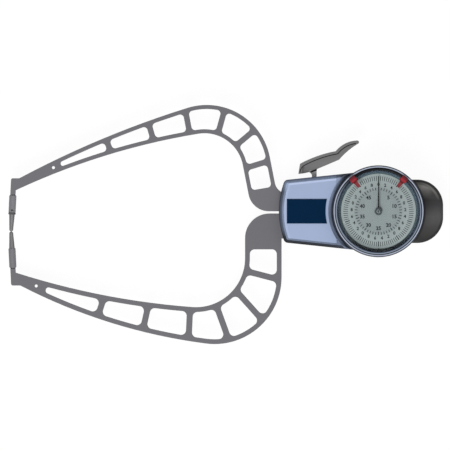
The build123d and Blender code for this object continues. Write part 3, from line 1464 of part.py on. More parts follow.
def tolerance_marker(angle):
    """Block that slides round the bezel's groove, with a blade over the crystal."""
    low = BEZEL_TOP + MARKER_LIFT
    half = MARKER_HEAD_HALF_WIDTH
    head_face = polygon(
        (MARKER_HEAD_IN, -half), (MARKER_HEAD_OUT, -half), (MARKER_HEAD_OUT, half), (MARKER_HEAD_IN, half)
    )
    head = slab(fillet(head_face.vertices(), MARKER_CORNER), low, low + MARKER_HEAD_HEIGHT)
    head = fillet(head.faces().sort_by(Axis.Z)[-1].edges(), MARKER_EDGE)
    blade_end = BEZEL_OPENING - 2 * MARKER_LIFT
    blade_face = polygon(
        (MARKER_TIP_RADIUS, -MARKER_TIP_HALF_WIDTH),
        (blade_end, -MARKER_ROOT_HALF_WIDTH),
        (blade_end, MARKER_ROOT_HALF_WIDTH),
        (MARKER_TIP_RADIUS, MARKER_TIP_HALF_WIDTH),
    )
    tips = blade_face.vertices().sort_by(Axis.X)[:2]
    blade_face = fillet(tips, MARKER_TIP_CORNER)
    blade_low = CRYSTAL_TOP + 2 * MARKER_LIFT
    blade = slab(blade_face, blade_low, low + MARKER_BLADE)
    foot_inner, foot_outer = GROOVE_IN + MARKER_LIFT, GROOVE_OUT - MARKER_LIFT
    foot = ring(foot_inner, foot_outer, BEZEL_TOP - GROOVE_DEPTH + MARKER_LIFT, low + MARKER_BLADE)
    foot &= block(0, BEZEL_RADIUS, -MARKER_FOOT_HALF_WIDTH, MARKER_FOOT_HALF_WIDTH, 0, FAR)
    return Rot(0, 0, angle) * (head + blade + foot)


# Write every piece

still_post, moving_post = spring_posts()

save("back_shell", back_shell())
save("front_shell", front_shell())
save("face_panel", face_panel())
save("label_plate", label_plate())
save("housing_screws", *housing_screws())
save("fixed_arm", fixed_arm())
save("fixed_arm_screws", *fixed_arm_screws())
save("dowel_pins", *dowel_pins())
save("fixed_contact_holder", contact_holder(False))
save("fixed_contact_tip", contact_tip(False))
save("fixed_contact_screw", set_screw(False))
save("grip_cover", grip_cover())
save("grip_back_cover", grip_back_cover())
save("grip_screws", *grip_screws())
save("pivot_pin", pivot_pin())
save("thrust_washers", *thrust_washers())
save("return_spring", return_spring())
save("spring_post", still_post)
save("open_stop_pin", rod(stop_pin_place(), STOP_PIN_RADIUS, WALL / 2, ARM_HIGH))
save("moving_arm", moving_arm())
save("pivot_bush", pivot_bush())
save("spring_pin", moving_post)
save("lever_bracket", lever_bracket())
save("lever_screws", *lever_screws())
save("thumb_pad", thumb_pad())
save("moving_contact_holder", contact_holder(True))
save("moving_contact_tip", contact_tip(True))
save("moving_contact_screw", set_screw(True))
save("moving_contact_collar", contact_collar())
save("sector_gear", sector_gear())
save("sector_screws", *sector_screws())
save("intermediate_arbor", intermediate_arbor())
save("intermediate_wheel", intermediate_wheel())
save("short_hand_tube", short_hand_tube())
save("short_hand_wheel", short_hand_wheel())
save("short_hand", short_hand())
save("lay_arbor", lay_arbor())
save("lay_wheel", lay_wheel())
save("centre_arbor", centre_arbor())
save("large_hand", large_hand())
save("hand_hub", hand_hub())
save("hairspring", hairspring())
save("hairspring_stud", hairspring_stud())
save("movement_lower_plate", lower_plate())
save("movement_upper_plate", upper_plate())
save("movement_pillars", *movement_pillars())
save("plate_screws", *plate_screws())
save("case_screws", *case_screws())
save("dial_case", dial_case())
save("bezel_snap_ring", snap_ring())
save("bezel_ring", bezel_ring())
save("dial_retainer", dial_retainer())
save("dial_plate", dial_plate())
save("dial_ring", dial_ring())
save("crystal_gasket", crystal_gasket())
save("crystal", crystal())
save("left_marker", tolerance_marker(90 + MARKER_ANGLE))
save("right_marker", tolerance_marker(90 - MARKER_ANGLE))
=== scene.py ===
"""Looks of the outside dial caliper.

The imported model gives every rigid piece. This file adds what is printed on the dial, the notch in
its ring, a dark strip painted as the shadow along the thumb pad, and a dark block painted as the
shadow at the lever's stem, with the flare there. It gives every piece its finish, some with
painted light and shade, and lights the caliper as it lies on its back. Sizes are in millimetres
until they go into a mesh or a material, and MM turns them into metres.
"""

from __future__ import annotations

import logging
import math
from dataclasses import dataclass
from enum import Enum
from functools import cache, cached_property, partial, reduce
from typing import Callable, Dict, List, Optional, Sequence, Tuple, Union

import bmesh
import bpy
import numpy as np
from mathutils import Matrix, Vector


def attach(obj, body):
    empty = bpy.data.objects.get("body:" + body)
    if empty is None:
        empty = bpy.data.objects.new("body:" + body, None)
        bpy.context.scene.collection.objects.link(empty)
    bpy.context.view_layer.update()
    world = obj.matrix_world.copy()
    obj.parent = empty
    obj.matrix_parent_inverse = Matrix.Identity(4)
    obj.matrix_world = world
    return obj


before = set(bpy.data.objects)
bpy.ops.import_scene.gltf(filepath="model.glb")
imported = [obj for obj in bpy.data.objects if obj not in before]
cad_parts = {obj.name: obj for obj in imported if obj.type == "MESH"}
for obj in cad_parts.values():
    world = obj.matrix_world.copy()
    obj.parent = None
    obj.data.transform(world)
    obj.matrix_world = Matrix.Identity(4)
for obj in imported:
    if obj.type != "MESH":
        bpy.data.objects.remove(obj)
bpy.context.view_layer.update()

MM = 0.001
WHITE = (1.0, 1.0, 1.0, 1.0)
LOG = logging.getLogger("caliper")

Colour = Tuple[int, int, int]
Light = Tuple[float, float, float, float]
Point = Tuple[float, float]
Span = Tuple[float, float]
Triple = Tuple[float, float, float]
Stops = Tuple[Tuple[float, Colour], ...]
Arrays = Tuple[np.ndarray, np.ndarray]
Socket = bpy.types.NodeSocket
Value = Union["Signal", float, Tuple[float, ...]]


class Body(str, Enum):
    """The bodies of the model that the new pieces ride on."""

    ARM = "moving_arm"
    BEZEL = "bezel"


class Slot(str, Enum):
    """The record's slot names that the new pieces are listed with; each piece gets its material directly."""

    PRINT = "hand_black"
    LEVER = "lever_grey"
    RING = "ring_slate"


# Node graphs and the effects that several finishes share


def linear(colour: Colour) -> Light:
    """Turns a written colour into the shader's linear one.

    Args:
        colour: red, green and blue from 0 to 255, as a screen shows them.

    Returns:
        The same colour as linear light, with an alpha of 1.
    """
    parts = np.asarray(colour, float) / 255.0
    light = np.where(parts <= 0.04045, parts / 12.92, ((parts + 0.055) / 1.055) ** 2.4)
    return (float(light[0]), float(light[1]), float(light[2]), 1.0)


def level(height: float) -> Light:
    """Gives a number from 0 to 1 as grey light."""
    return (height, height, height, 1.0)


@dataclass(frozen=True)
class Signal:
    """What a node puts out, with the sums that it takes part in."""

    graph: Graph
    socket: Socket

    def __add__(self, other: Value) -> Signal:
        """Adds a number."""
        return self.graph.math("ADD", self, other)

    def __sub__(self, other: Value) -> Signal:
        """Takes a number from this one."""
        return self.graph.math("SUBTRACT", self, other)

    def __rsub__(self, other: Value) -> Signal:
        """Takes this number from another."""
        return self.graph.math("SUBTRACT", other, self)

    def __mul__(self, other: Value) -> Signal:
        """Multiplies by a number."""
        return self.graph.math("MULTIPLY", self, other)

    def __truediv__(self, other: Value) -> Signal:
        """Divides by a number."""
        return self.graph.math("DIVIDE", self, other)

    def __rtruediv__(self, other: Value) -> Signal:
        """Divides another number by this one."""
        return self.graph.math("DIVIDE", other, self)

    def __abs__(self) -> Signal:
        """Drops the sign."""
        return self.graph.math("ABSOLUTE", self)

    __radd__ = __add__

    def span(self, low: Value, high: Value, to: Span = (0.0, 1.0)) -> Signal:
        """Maps the range from low to high to a new range, and holds the result inside that."""
        feeds = {"Value": self, "From Min": low, "From Max": high, "To Min": to[0], "To Max": to[1]}
        return self.graph.put("MapRange", feeds, clamp=True)


@dataclass
class Graph:
    """Adds nodes to one node tree and wires them."""

    tree: bpy.types.NodeTree

    def feed(self, socket: Socket, value: Value) -> None:
        """Wires another node's output into an input, or writes a plain value there.

        Args:
            socket: the input.
            value: the output or the plain value.
        """
        if isinstance(value, Signal):
            self.tree.links.new(value.socket, socket)
        else:
            socket.default_value = value

    def node(self, kind: str, feeds: Dict[Union[int, str], Value], **settings: object) -> bpy.types.Node:
        """Adds one node.

        Args:
            kind: the node's type, without the words that all shader nodes start with.
            feeds: what each input gets, which is another node's output or a plain value.
            settings: the node's own settings.

        Returns:
            The node.
        """
        node = self.tree.nodes.new("ShaderNode" + kind)
        for name, value in settings.items():
            setattr(node, name, value)
        for key, value in feeds.items():
            self.feed(node.inputs[key], value)
        return node

    def put(
        self, kind: str, feeds: Dict[Union[int, str], Value], output: Union[int, str] = 0, **settings: object,
    ) -> Signal:
        """Adds one node and gives one of its outputs, the first if none is named."""
        return Signal(self, self.node(kind, feeds, **settings).outputs[output])

    def group(self, tree: bpy.types.NodeTree, feeds: Dict[str, Value]) -> Dict[str, Signal]:
        """Places one of the shared effects and gives its outputs by their names."""
        return {out.name: Signal(self, out) for out in self.node("Group", feeds, node_tree=tree).outputs}

    def math(self, operation: str, first: Value, second: Value = 0.0, clamp: bool = False) -> Signal:
        """Gives the result of a sum, held between 0 and 1 if clamp says so."""
        return self.put("Math", {0: first, 1: second}, operation=operation, use_clamp=clamp)

    def vector(self, operation: str, first: Value, second: Value) -> Signal:
        """Gives the result of a sum of vectors."""
        return self.put("VectorMath", {0: first, 1: second}, operation=operation)

    def dot(self, first: Value, second: Value) -> Signal:
        """Gives how far one vector reaches along another."""
        return self.put("VectorMath", {0: first, 1: second}, "Value", operation="DOT_PRODUCT")

    def length(self, vector: Value) -> Signal:
        """Gives the length of a vector."""
        return self.put("VectorMath", {0: vector}, "Value", operation="LENGTH")

    def scale(self, vector: Value, factor: Value) -> Signal:
        """Scales a vector or a colour."""
        return self.put("VectorMath", {0: vector, "Scale": factor}, operation="SCALE")

    def rays(self, *kinds: str) -> Signal:
        """Gives 1 for a ray of any of the kinds named, and 0 for the others."""
        given = [self.put("LightPath", {}, f"Is {kind} Ray") for kind in kinds]
        return reduce(partial(self.math, "MAXIMUM"), given)

    @cached_property
    def place(self) -> Signal:
        """The place on the piece, in metres."""
        return self.put("TexCoord", {}, "Object")

    @cached_property
    def axes(self) -> Tuple[Signal, ...]:
        """The place's x, y and z in millimetres."""
        spot = self.node("SeparateXYZ", {0: self.scale(self.place, 1.0 / MM)})
        return tuple(Signal(self, out) for out in spot.outputs)

    @cached_property
    def radius(self) -> Signal:
        """The distance from the dial's axis in millimetres."""
        return self.group(Effects.turned(), {"Place": self.place})["Radius"]

    def mix(self, share: Value, first: Union[Signal, Colour], second: Union[Signal, Colour]) -> Signal:
        """Mixes two colours, of which share is how much of the second there is."""
        ends = [value if isinstance(value, Signal) else linear(value) for value in (first, second)]
        return self.put("Mix", {0: share, 6: ends[0], 7: ends[1]}, 2, data_type="RGBA")

    def ramp(self, value: Signal, stops: Sequence, shown: Callable[..., Light] = linear) -> Signal:
        """Looks a number up in a list of stops, evenly from one to the next.

        Args:
            value: what is looked up.
            stops: numbers in rising order, each with its colour or height.
            shown: turns a stop's colour or height into light.

        Returns:
            The colour found.
        """
        low, high = stops[0][0], stops[-1][0]
        node = self.node("ValToRGB", {"Fac": value.span(low, high)})
        elements = node.color_ramp.elements
        elements[0].color, elements[-1].color = shown(stops[0][1]), shown(stops[-1][1])
        for at, tint in stops[1:-1]:
            elements.new((at - low) / (high - low)).color = shown(tint)
        return Signal(self, node.outputs["Color"])


class Effects:
    """The effects that several finishes share, each a node group that is built once.

    An edge shows where the cosine of the rounded normal's turn falls through the range bend. A
    noise with so many patches to a millimetre breaks it up, and it keeps at least the share left.
    The lathe lines also change with the height, rise times to a millimetre.
    """

    noise_detail: float = 2.0
    mottle_detail: float = 3.0
    noise_roughness: float = 0.6
    bend: Span = (0.99, 0.86)
    bend_samples: int = 4
    patches: float = 0.35
    patch_ends: Span = (0.3, 0.6)
    left: float = 0.35
    rise: float = 5.0

    @staticmethod
    def start(
        name: str, inputs: Dict[str, Optional[float]], outputs: Sequence[str],
    ) -> Tuple[Graph, Dict[str, Signal], bpy.types.NodeInputs]:
        """Makes an empty node group with its sockets.

        Args:
            name: the group's name.
            inputs: each input's value, or None where it is a place.
            outputs: the name of each output, which is a number.

        Returns:
            The group's graph, what its inputs bring and where its outputs are taken from.
        """
        tree = bpy.data.node_groups.new(name, "ShaderNodeTree")
        for label, value in inputs.items():
            kind = "NodeSocketVector" if value is None else "NodeSocketFloat"
            socket = tree.interface.new_socket(label, in_out="INPUT", socket_type=kind)
            if value is not None:
                socket.default_value = value
        for label in outputs:
            tree.interface.new_socket(label, in_out="OUTPUT", socket_type="NodeSocketFloat")
        graph = Graph(tree)
        brought = {out.name: Signal(graph, out) for out in tree.nodes.new("NodeGroupInput").outputs}
        return graph, brought, tree.nodes.new("NodeGroupOutput").inputs

    @staticmethod
    @cache
    def grain() -> bpy.types.NodeTree:
        """Makes slow mottling and fine grain, from two noises of the place.

        Returns:
            The group. Mottle and Grain both wander round 0.5.
        """
        inputs = {"Place": None, "Mottle Size": 12.0, "Grain Size": 0.4}
        graph, brought, taken = Effects.start("surface_grain", inputs, ("Mottle", "Grain"))
        for label, detail in (("Mottle", Effects.mottle_detail), ("Grain", Effects.noise_detail)):
            feeds = {
                "Vector": brought["Place"], "Scale": 1.0 / MM / brought[label + " Size"], "Detail": detail,
                "Roughness": Effects.noise_roughness,
            }
            graph.feed(taken[label], graph.put("TexNoise", feeds))
        return graph.tree

    @staticmethod
    @cache
    def wear() -> bpy.types.NodeTree:
        """Makes the mask of edges, for lighter edges that are partly wear and partly a painted highlight:
        the normal rounded over a small reach leaves the true one there.

        Returns:
            The group. Edge is 0 on a face and 1 on a sharp edge.
        """
        graph, brought, taken = Effects.start("edge_wear_and_highlight", {"Place": None, "Reach": 0.3}, ("Edge",))
        rounded = graph.put("Bevel", {"Radius": brought["Reach"] * MM}, samples=Effects.bend_samples)
        bent = graph.dot(rounded, graph.put("NewGeometry", {}, "Normal")).span(*Effects.bend)
        feeds = {"Vector": brought["Place"], "Scale": Effects.patches / MM, "Detail": Effects.noise_detail}
        broken = graph.put("TexNoise", feeds).span(*Effects.patch_ends, (Effects.left, 1.0))
        graph.feed(taken["Edge"], graph.math("MULTIPLY", bent, broken, clamp=True))
        return graph.tree

    @staticmethod
    @cache
    def turned() -> bpy.types.NodeTree:
        """Makes lathe lines: a noise of the distance from the dial's axis and of the height alone.

        Returns:
            The group. Lines wanders round 0.5, and Radius is the distance in millimetres.
        """
        inputs = {"Place": None, "Pitch": 0.2}
        graph, brought, taken = Effects.start("turned_lines", inputs, ("Lines", "Radius"))
        radius = graph.length(graph.vector("MULTIPLY", brought["Place"], (1.0 / MM, 1.0 / MM, 0.0)))
        height = graph.put("SeparateXYZ", {0: brought["Place"]}, "Z") * (Effects.rise / MM)
        both = graph.put("CombineXYZ", {0: radius / brought["Pitch"], 1: height})
        feeds = {"Vector": both, "Scale": 1.0, "Detail": Effects.noise_detail}
        graph.feed(taken["Lines"], graph.put("TexNoise", feeds))
        graph.feed(taken["Radius"], radius)
        return graph.tree

    @staticmethod
    @cache
    def side_shade_mask() -> bpy.types.NodeTree:
        """Makes the mask for painted side shade, of faces turned away from the front: 1 less the normal's
        height.

        Returns:
            The group. Side is 0 on a face that looks up and 1 on an upright one.
        """
        graph, brought, taken = Effects.start("painted_side_shade", {"Start": 0.0, "End": 1.0}, ("Side",))
        side = 1.0 - graph.put("SeparateXYZ", {0: graph.put("NewGeometry", {}, "Normal")}, "Z")
        graph.feed(taken["Side"], side.span(brought["Start"], brought["End"]))
        return graph.tree


# Finishes


def blank(name: str, colour: Colour) -> Tuple[bpy.types.Material, Graph]:
    """Makes a material without nodes.

    Args:
        name: its name.
        colour: the colour that it has in a plain view.

    Returns:
        The material and its graph.
    """
    material = bpy.data.materials.new(name)
    material.use_nodes = True
    material.diffuse_color = linear(colour)
    material.node_tree.nodes.clear()
    return material, Graph(material.node_tree)


@dataclass(frozen=True)
class Finish:
    """A finish whose colour wanders a little, with a fine grain and lighter edges, which are partly wear and
    partly a painted highlight.

    Painted shade: faces turn to side_shade_and_parting_colour, by a share of side at most, as the
    height of their normal falls from 1 less side_start to 1 less side_end. Shell uses
    the same colour for its parting line.
    """

    name: str
    colour: Colour
    roughness: float = 0.5
    metallic: float = 0.0
    specular: float = 0.5
    mottle: float = 0.06
    mottle_size: float = 12.0
    grain_size: float = 0.4
    grain_depth: float = 0.01
    wear: float = 0.3
    wear_and_highlight_colour: Colour = (190, 192, 196)
    wear_reach: float = 0.25
    side: float = 0.0
    side_shade_and_parting_colour: Colour = (30, 32, 36)
    side_start: float = 0.3
    side_end: float = 1.0
    mottle_ends: Span = (0.3, 0.7)
    roughness_play: float = 0.06

    def shade(self, graph: Graph, colour: Signal) -> Signal:
        """Paints shade: turns a colour towards side_shade_and_parting_colour on faces that are turned away.

        Args:
            graph: the material's graph.
            colour: the colour of a face that looks up.

        Returns:
            The shaded colour.
        """
        if self.side == 0.0:
            return colour
        # Painted shade on faces turned away from up.
        turned = graph.group(Effects.side_shade_mask(), {"Start": self.side_start, "End": self.side_end})
        return graph.mix(turned["Side"] * self.side, colour, self.side_shade_and_parting_colour)

    def paint(self, graph: Graph) -> Signal:
        """Gives the colour before mottling and wear, which is the same all over here."""
        return self.shade(graph, graph.mix(0.0, self.colour, self.colour))

    def relief(self, graph: Graph, grain: Signal) -> Signal:
        """Gives the height that the bump follows, which is the grain for a plain finish."""
        return grain

    def metal(self, graph: Graph) -> Value:
        """Gives how metallic the surface is, the same all over for a plain finish."""
        return self.metallic

    def grain(self, graph: Graph) -> Dict[str, Signal]:
        """Places the shared mottling and grain at this finish's sizes."""
        feeds = {"Place": graph.place, "Mottle Size": self.mottle_size, "Grain Size": self.grain_size}
        return graph.group(Effects.grain(), feeds)

    def build(self) -> bpy.types.Material:
        """Makes the material.

        Returns:
            The material.
        """
        material, graph = blank(self.name, self.colour)
        grain = self.grain(graph)
        mottle = grain["Mottle"]
        light = mottle.span(*self.mottle_ends, (1.0 - self.mottle, 1.0 + self.mottle))
        colour = graph.scale(self.paint(graph), light)
        # Lighter edges: partly rubbed wear, partly a painted edge highlight.
        if self.wear > 0.0:
            worn_and_lit = graph.group(Effects.wear(), {"Place": graph.place, "Reach": self.wear_reach})
            colour = graph.mix(worn_and_lit["Edge"] * self.wear, colour, self.wear_and_highlight_colour)
        rough = (self.roughness - self.roughness_play, self.roughness + self.roughness_play)
        height = self.relief(graph, grain["Grain"])
        bump = graph.put("Bump", {"Height": height, "Strength": 1.0, "Distance": self.grain_depth * MM})
        shader = graph.put(
            "BsdfPrincipled",
            {"Base Color": colour, "Roughness": mottle.span(*self.mottle_ends, rough),
             "Metallic": self.metal(graph), "Specular IOR Level": self.specular, "Normal": bump},
        )
        graph.node("OutputMaterial", {"Surface": shader})
        return material

    def dress(self, *nodes: str) -> None:
        """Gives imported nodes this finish, which is built once for them all.

        Args:
            nodes: the nodes' names.
        """
        material = self.build()
        for name in nodes:
            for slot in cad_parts[name].material_slots:
                slot.material = material


@dataclass(frozen=True)
class Turned(Finish):
    """A finish turned on a lathe, with fine rings round the dial's axis."""

    pitch: float = 0.2

    def relief(self, graph: Graph, grain: Signal) -> Signal:
        """Gives the rings as the height that the bump follows."""
        return graph.group(Effects.turned(), {"Place": graph.place, "Pitch": self.pitch})["Lines"]


@dataclass(frozen=True)
class Banded(Turned):
    """A turned finish whose colour changes with the distance from the dial's axis.

    A band list names radii and colours. A step list, if there is one, names radii and heights
    from 0 to 1 of fine turned steps, step_depth deep. Only the part beyond bright_from is bare
    metal. Between the two radii of arc a painted shade turns the colour to arc_shade_colour, from
    where the sine of the angle round the dial is arc_from to where it is arc_full.
    """

    mottle: float = 0.04
    wear: float = 0.0
    bands: Stops = ()
    steps: Tuple[Span, ...] = ()
    step_depth: float = 1.0
    bright_from: float = 0.0
    bright_blur: float = 0.1
    arc: Span = (0.0, 0.0)
    arc_blur: float = 0.15
    arc_from: float = 0.0
    arc_full: float = 1.0
    arc_shade_share: float = 0.0
    arc_shade_colour: Colour = (20, 24, 32)

    def metal(self, graph: Graph) -> Value:
        """Gives how metallic the surface is.

        Args:
            graph: the material's graph.

        Returns:
            A plain value, or a signal where only the part beyond bright_from is bare metal.
        """
        if self.bright_from == 0.0:
            return self.metallic
        near, far = self.bright_from - self.bright_blur, self.bright_from + self.bright_blur
        return graph.radius.span(near, far, (0.0, self.metallic))

    def relief(self, graph: Graph, grain: Signal) -> Signal:
        """Gives the lathe lines, with the turned steps added where there are any.

        Args:
            graph: the material's graph.
            grain: the plain grain, which isn't used.

        Returns:
            The height that the bump follows.
        """
        lines = super().relief(graph, grain)
        if not self.steps:
            return lines
        return graph.ramp(graph.radius, self.steps, level) * (self.step_depth / self.grain_depth) + lines

    def paint(self, graph: Graph) -> Signal:
        """Gives the bands' colours, running evenly between the radii that they name.

        Args:
            graph: the material's graph.

        Returns:
            The colour before mottling and wear.
        """
        radius = graph.radius
        colour = graph.ramp(radius, self.bands)
        # Painted shade: a dark crescent on one side, between the two radii of arc.
        if self.arc_shade_share > 0.0:
            share = (graph.axes[1] / radius).span(self.arc_from, self.arc_full, (0.0, self.arc_shade_share))
            near = radius.span(self.arc[0] - self.arc_blur, self.arc[0] + self.arc_blur)
            far = radius.span(self.arc[1] + self.arc_blur, self.arc[1] - self.arc_blur)
            colour = graph.mix(share * near * far, colour, self.arc_shade_colour)
        return self.shade(graph, colour)


@dataclass(frozen=True)
class Shell(Finish):
    """The body's slate blue, with painted shade and light by height: slate walls, dark edge, lighter top.

    Inside the radius pocket the slope towards the dial has the bevel's painted shading, and further
    down its lighter copy, lit_lower_bevel. Painted light makes the edge lighter at the upper side and
    painted shade makes it darker at the lower one. Painted shade turns the top dark towards the
    dial, from first on and from last on. A dark line marks where the two shells meet. A pair of
    numbers names where a change starts and where it ends.
    """

    parting: float = 13.0
    parting_line: Span = (0.22, 0.1)
    pocket: Span = (33.4, 33.2)
    # Colours by height: painted shade darkening down the edge's chamfer, with a lighter top.
    heights: Stops = (
        (20.6, (58, 66, 81)), (21.5, (50, 57, 70)), (21.9, (42, 47, 58)), (22.4, (59, 66, 81)),
        (23.0, (75, 84, 100)), (23.7, (83, 94, 112)), (24.0, (120, 132, 156)),
    )
    # Painted shading of the pocket's slope, and a lit copy of it for the lower side.
    bevel: Stops = (
        (20.6, (66, 74, 92)), (22.0, (72, 82, 102)), (22.5, (122, 138, 164)), (23.2, (140, 156, 184)),
        (24.0, (158, 172, 200)),
    )
    lit_lower_bevel: Stops = (
        (20.6, (82, 93, 114)), (22.0, (98, 110, 134)), (22.5, (146, 162, 190)), (23.2, (166, 182, 212)),
        (24.0, (168, 182, 210)),
    )
    lit_lower_bevel_from: Span = (-4.0, -12.0)
    wall_top: Span = (19.8, 20.4)
    edge: Span = (23.95, 23.7)
    upper: Span = (13.0, 17.0)
    upper_light_gain: float = 0.9
    upper_edge_light_gain: float = 1.1
    lower: Span = (-13.0, -17.0)
    lower_edge_shade: float = 0.78
    # Painted shade colour for the top beside the dial.
    dark: Colour = (46, 51, 62)
    shade_above: Span = (21.6, 22.4)
    first: Span = (-28.8, -27.4)
    first_shade_share: float = 0.2
    first_edge_shade_share: float = 0.45
    last: Span = (-26.0, -21.0)
    last_shade_share: float = 0.8
    last_lower_shade_loss: float = 0.25

    def paint(self, graph: Graph) -> Signal:
        """Gives the slate with painted shade and light by the height, and painted shade on the face beside
        the dial.

        Args:
            graph: the material's graph.

        Returns:
            The colour before mottling and wear.
        """
        x, y, height = graph.axes
        above = height.span(*self.wall_top)
        inside = graph.radius.span(*self.pocket) * above
        lit_lower_bevel = graph.ramp(height, self.lit_lower_bevel)
        bevel = graph.mix(y.span(*self.lit_lower_bevel_from), graph.ramp(height, self.bevel), lit_lower_bevel)
        base = graph.mix(inside, graph.ramp(height, self.heights), bevel)
        crown = above * (1.0 - inside)
        edge = height.span(*self.edge) * crown
        lower = y.span(*self.lower)
        # Painted light on the upper side and painted shade on the lower edge.
        gain = (edge * self.upper_edge_light_gain + self.upper_light_gain) * crown
        light = 1.0 + y.span(*self.upper) * gain - edge * lower * self.lower_edge_shade
        # Painted shade towards the dial.
        first = x.span(*self.first) * (edge * self.first_edge_shade_share + self.first_shade_share)
        last = x.span(*self.last, (0.0, self.last_shade_share)) * (1.0 - lower * self.last_lower_shade_loss)
        share = graph.math("ADD", first, last, clamp=True) * height.span(*self.shade_above)
        base = graph.mix(share, graph.scale(base, light), self.dark)
        return graph.mix(abs(height - self.parting).span(*self.parting_line), base, self.side_shade_and_parting_colour)


@dataclass(frozen=True)
class Panel(Finish):
    """The light blue panel: a painted highlight inside its upper and left edges, painted shade at its lower
    one.

    The upper edge is the line whose points lie upper from the dial's axis along a normal turned
    by flare degrees, the lower edge is its mirror image, and the left one is an arc of radius
    left about (middle, 0). The painted shade along the lower edge is darkest beside the dial.
    """

    flare: float = 6.0
    upper: float = 24.95
    left: float = 53.8
    middle: float = -9.3
    line: float = 1.3
    line_blur: float = 0.4
    left_blur: float = 0.5
    left_share: float = 0.35
    left_of: Span = (-45.0, -50.0)
    painted_highlight: Colour = (184, 198, 230)
    # Painted shade colours for the lower edge.
    dark: Colour = (98, 110, 131)
    darker: Colour = (66, 74, 88)
    darker_from: Span = (-31.0, -26.0)
    dark_line: Span = (1.0, 0.6)

    def paint(self, graph: Graph) -> Signal:
        """Gives the blue with its painted highlight and painted shade along the edges.

        Args:
            graph: the material's graph.

        Returns:
            The colour before mottling and wear.
        """
        x = graph.axes[0]
        turn = math.radians(self.flare)
        across, up = -math.sin(turn) / MM, math.cos(turn) / MM
        start = self.upper - self.line
        top = graph.dot(graph.place, (across, up, 0.0)).span(start - self.line_blur, start)
        shifted = graph.vector("SUBTRACT", graph.place, (self.middle * MM, 0.0, 0.0))
        reach = graph.length(graph.vector("MULTIPLY", shifted, (1.0 / MM, 1.0 / MM, 0.0)))
        start = self.left - self.line
        side = reach.span(start - self.left_blur, start, (0.0, self.left_share)) * x.span(*self.left_of)
        # Painted highlight inside the upper and left edges.
        base = graph.mix(graph.math("MAXIMUM", top, side), self.colour, self.painted_highlight)
        # Painted shade along the lower edge, darker beside the dial.
        low = graph.mix(x.span(*self.darker_from), self.dark, self.darker)
        depth = graph.dot(graph.place, (across, -up, 0.0))
        return graph.mix(depth.span(*(self.upper - off for off in self.dark_line)), base, low)


@dataclass(frozen=True)
class Moulded(Finish):
    """The grip's dark moulding: painted sheen and shade across it, darkest in a painted shadow by the bezel.

    In the upper half, beyond upper, painted light makes it lighter near the dial and darker away from
    it. A painted highlight arc follows the upper corner, whose centre is corner, and painted shade
    darkens the rim outside it.
    """

    across: Stops = ()
    upper: Span = (8.0, 11.0)
    along: Span = (29.0, 36.0)
    light_fall: Span = (0.8, -0.4)
    bezel: Span = (31.9, 31.0)
    shadow_share: float = 0.85
    shadow: Colour = (24, 24, 25)
    corner: Point = (25.9, 3.85)
    glint_in: Span = (13.6, 14.4)
    glint_out: Span = (15.6, 15.1)
    glint_from: Span = (7.0, 14.0)
    glint_colour: Colour = (112, 111, 108)
    rim_from: Span = (15.2, 15.9)
    rim_heights: Span = (4.0, 9.0)
    rim_shade_share: Span = (0.35, 1.0)
    rim_shade_colour: Colour = (40, 40, 40)

    def paint(self, graph: Graph) -> Signal:
        """Gives the grey with painted sheen and shade across the grip, a painted shadow beside the bezel and
        painted shade down the sides.

        Args:
            graph: the material's graph.

        Returns:
            The colour before mottling and wear.
        """
        x, y, _ = graph.axes
        # Painted sheen and shade across the grip, lighter near the dial in the upper half.
        light_fall = y.span(*self.upper) * x.span(*self.along, self.light_fall)
        base = graph.scale(graph.ramp(y, self.across), 1.0 + light_fall)
        height = abs(y)
        off = graph.put("CombineXYZ", {0: x - self.corner[0], 1: height - self.corner[1]})
        reach = graph.length(off)
        # Painted highlight arc along the upper corner.
        glint = reach.span(*self.glint_in) * reach.span(*self.glint_out) * y.span(*self.glint_from)
        base = graph.mix(glint, base, self.glint_colour)
        # Painted shade on the rim.
        rim = reach.span(*self.rim_from) * height.span(*self.rim_heights, self.rim_shade_share)
        base = graph.mix(rim, base, self.rim_shade_colour)
        # Painted shadow beside the bezel.
        near = graph.radius.span(*self.bezel, (0.0, self.shadow_share))
        return self.shade(graph, graph.mix(near, base, self.shadow))


@dataclass(frozen=True)
class Web(Finish):
    """The lever's grey, with painted light down the stem, which begins right of stem_x and below stem_y."""

    stem_x: Span = (-46.4, -45.6)
    stem_y: Span = (27.4, 26.8)
    stem_light_colour: Colour = (184, 184, 185)

    def paint(self, graph: Graph) -> Signal:
        """Gives the grey with the painted light on the stem."""
        share = graph.axes[0].span(*self.stem_x) * graph.axes[1].span(*self.stem_y)
        return graph.mix(share, self.colour, self.stem_light_colour)


@dataclass(frozen=True)
class Glass(Finish):
    """Clear glass or acrylic. Rays to the lamps and soft rays go straight through it."""

    bending: float = 1.2
    passed: Colour = (247, 250, 249)

    def build(self) -> bpy.types.Material:
        """Makes the material.

        Returns:
            The material.
        """
        material, graph = blank(self.name, self.colour)
        mottle = self.grain(graph)["Mottle"]
        feeds = {
            "Base Color": graph.mix(mottle.span(*self.mottle_ends), self.colour, (255, 255, 255)),
            "Roughness": self.roughness, "Transmission Weight": 1.0, "IOR": self.bending,
            "Specular IOR Level": self.specular,
        }
        clear = graph.put("BsdfTransparent", {"Color": linear(self.passed)})
        solid = graph.put("BsdfPrincipled", feeds)
        both = graph.put("MixShader", {0: graph.rays("Shadow", "Diffuse"), 1: solid, 2: clear})
        graph.node("OutputMaterial", {"Surface": both})
        return material


# Mesh making


def stand(name: str, data: bpy.types.ID, place: Triple = (0.0, 0.0, 0.0)) -> bpy.types.Object:
    """Makes an object and adds it to the scene.

    Args:
        name: its name.
        data: its mesh, curve, lamp or camera.
        place: where its origin stands.

    Returns:
        The object.
    """
    thing = bpy.data.objects.new(name, data)
    thing.location = Vector(place) * MM
    bpy.context.scene.collection.objects.link(thing)
    return thing


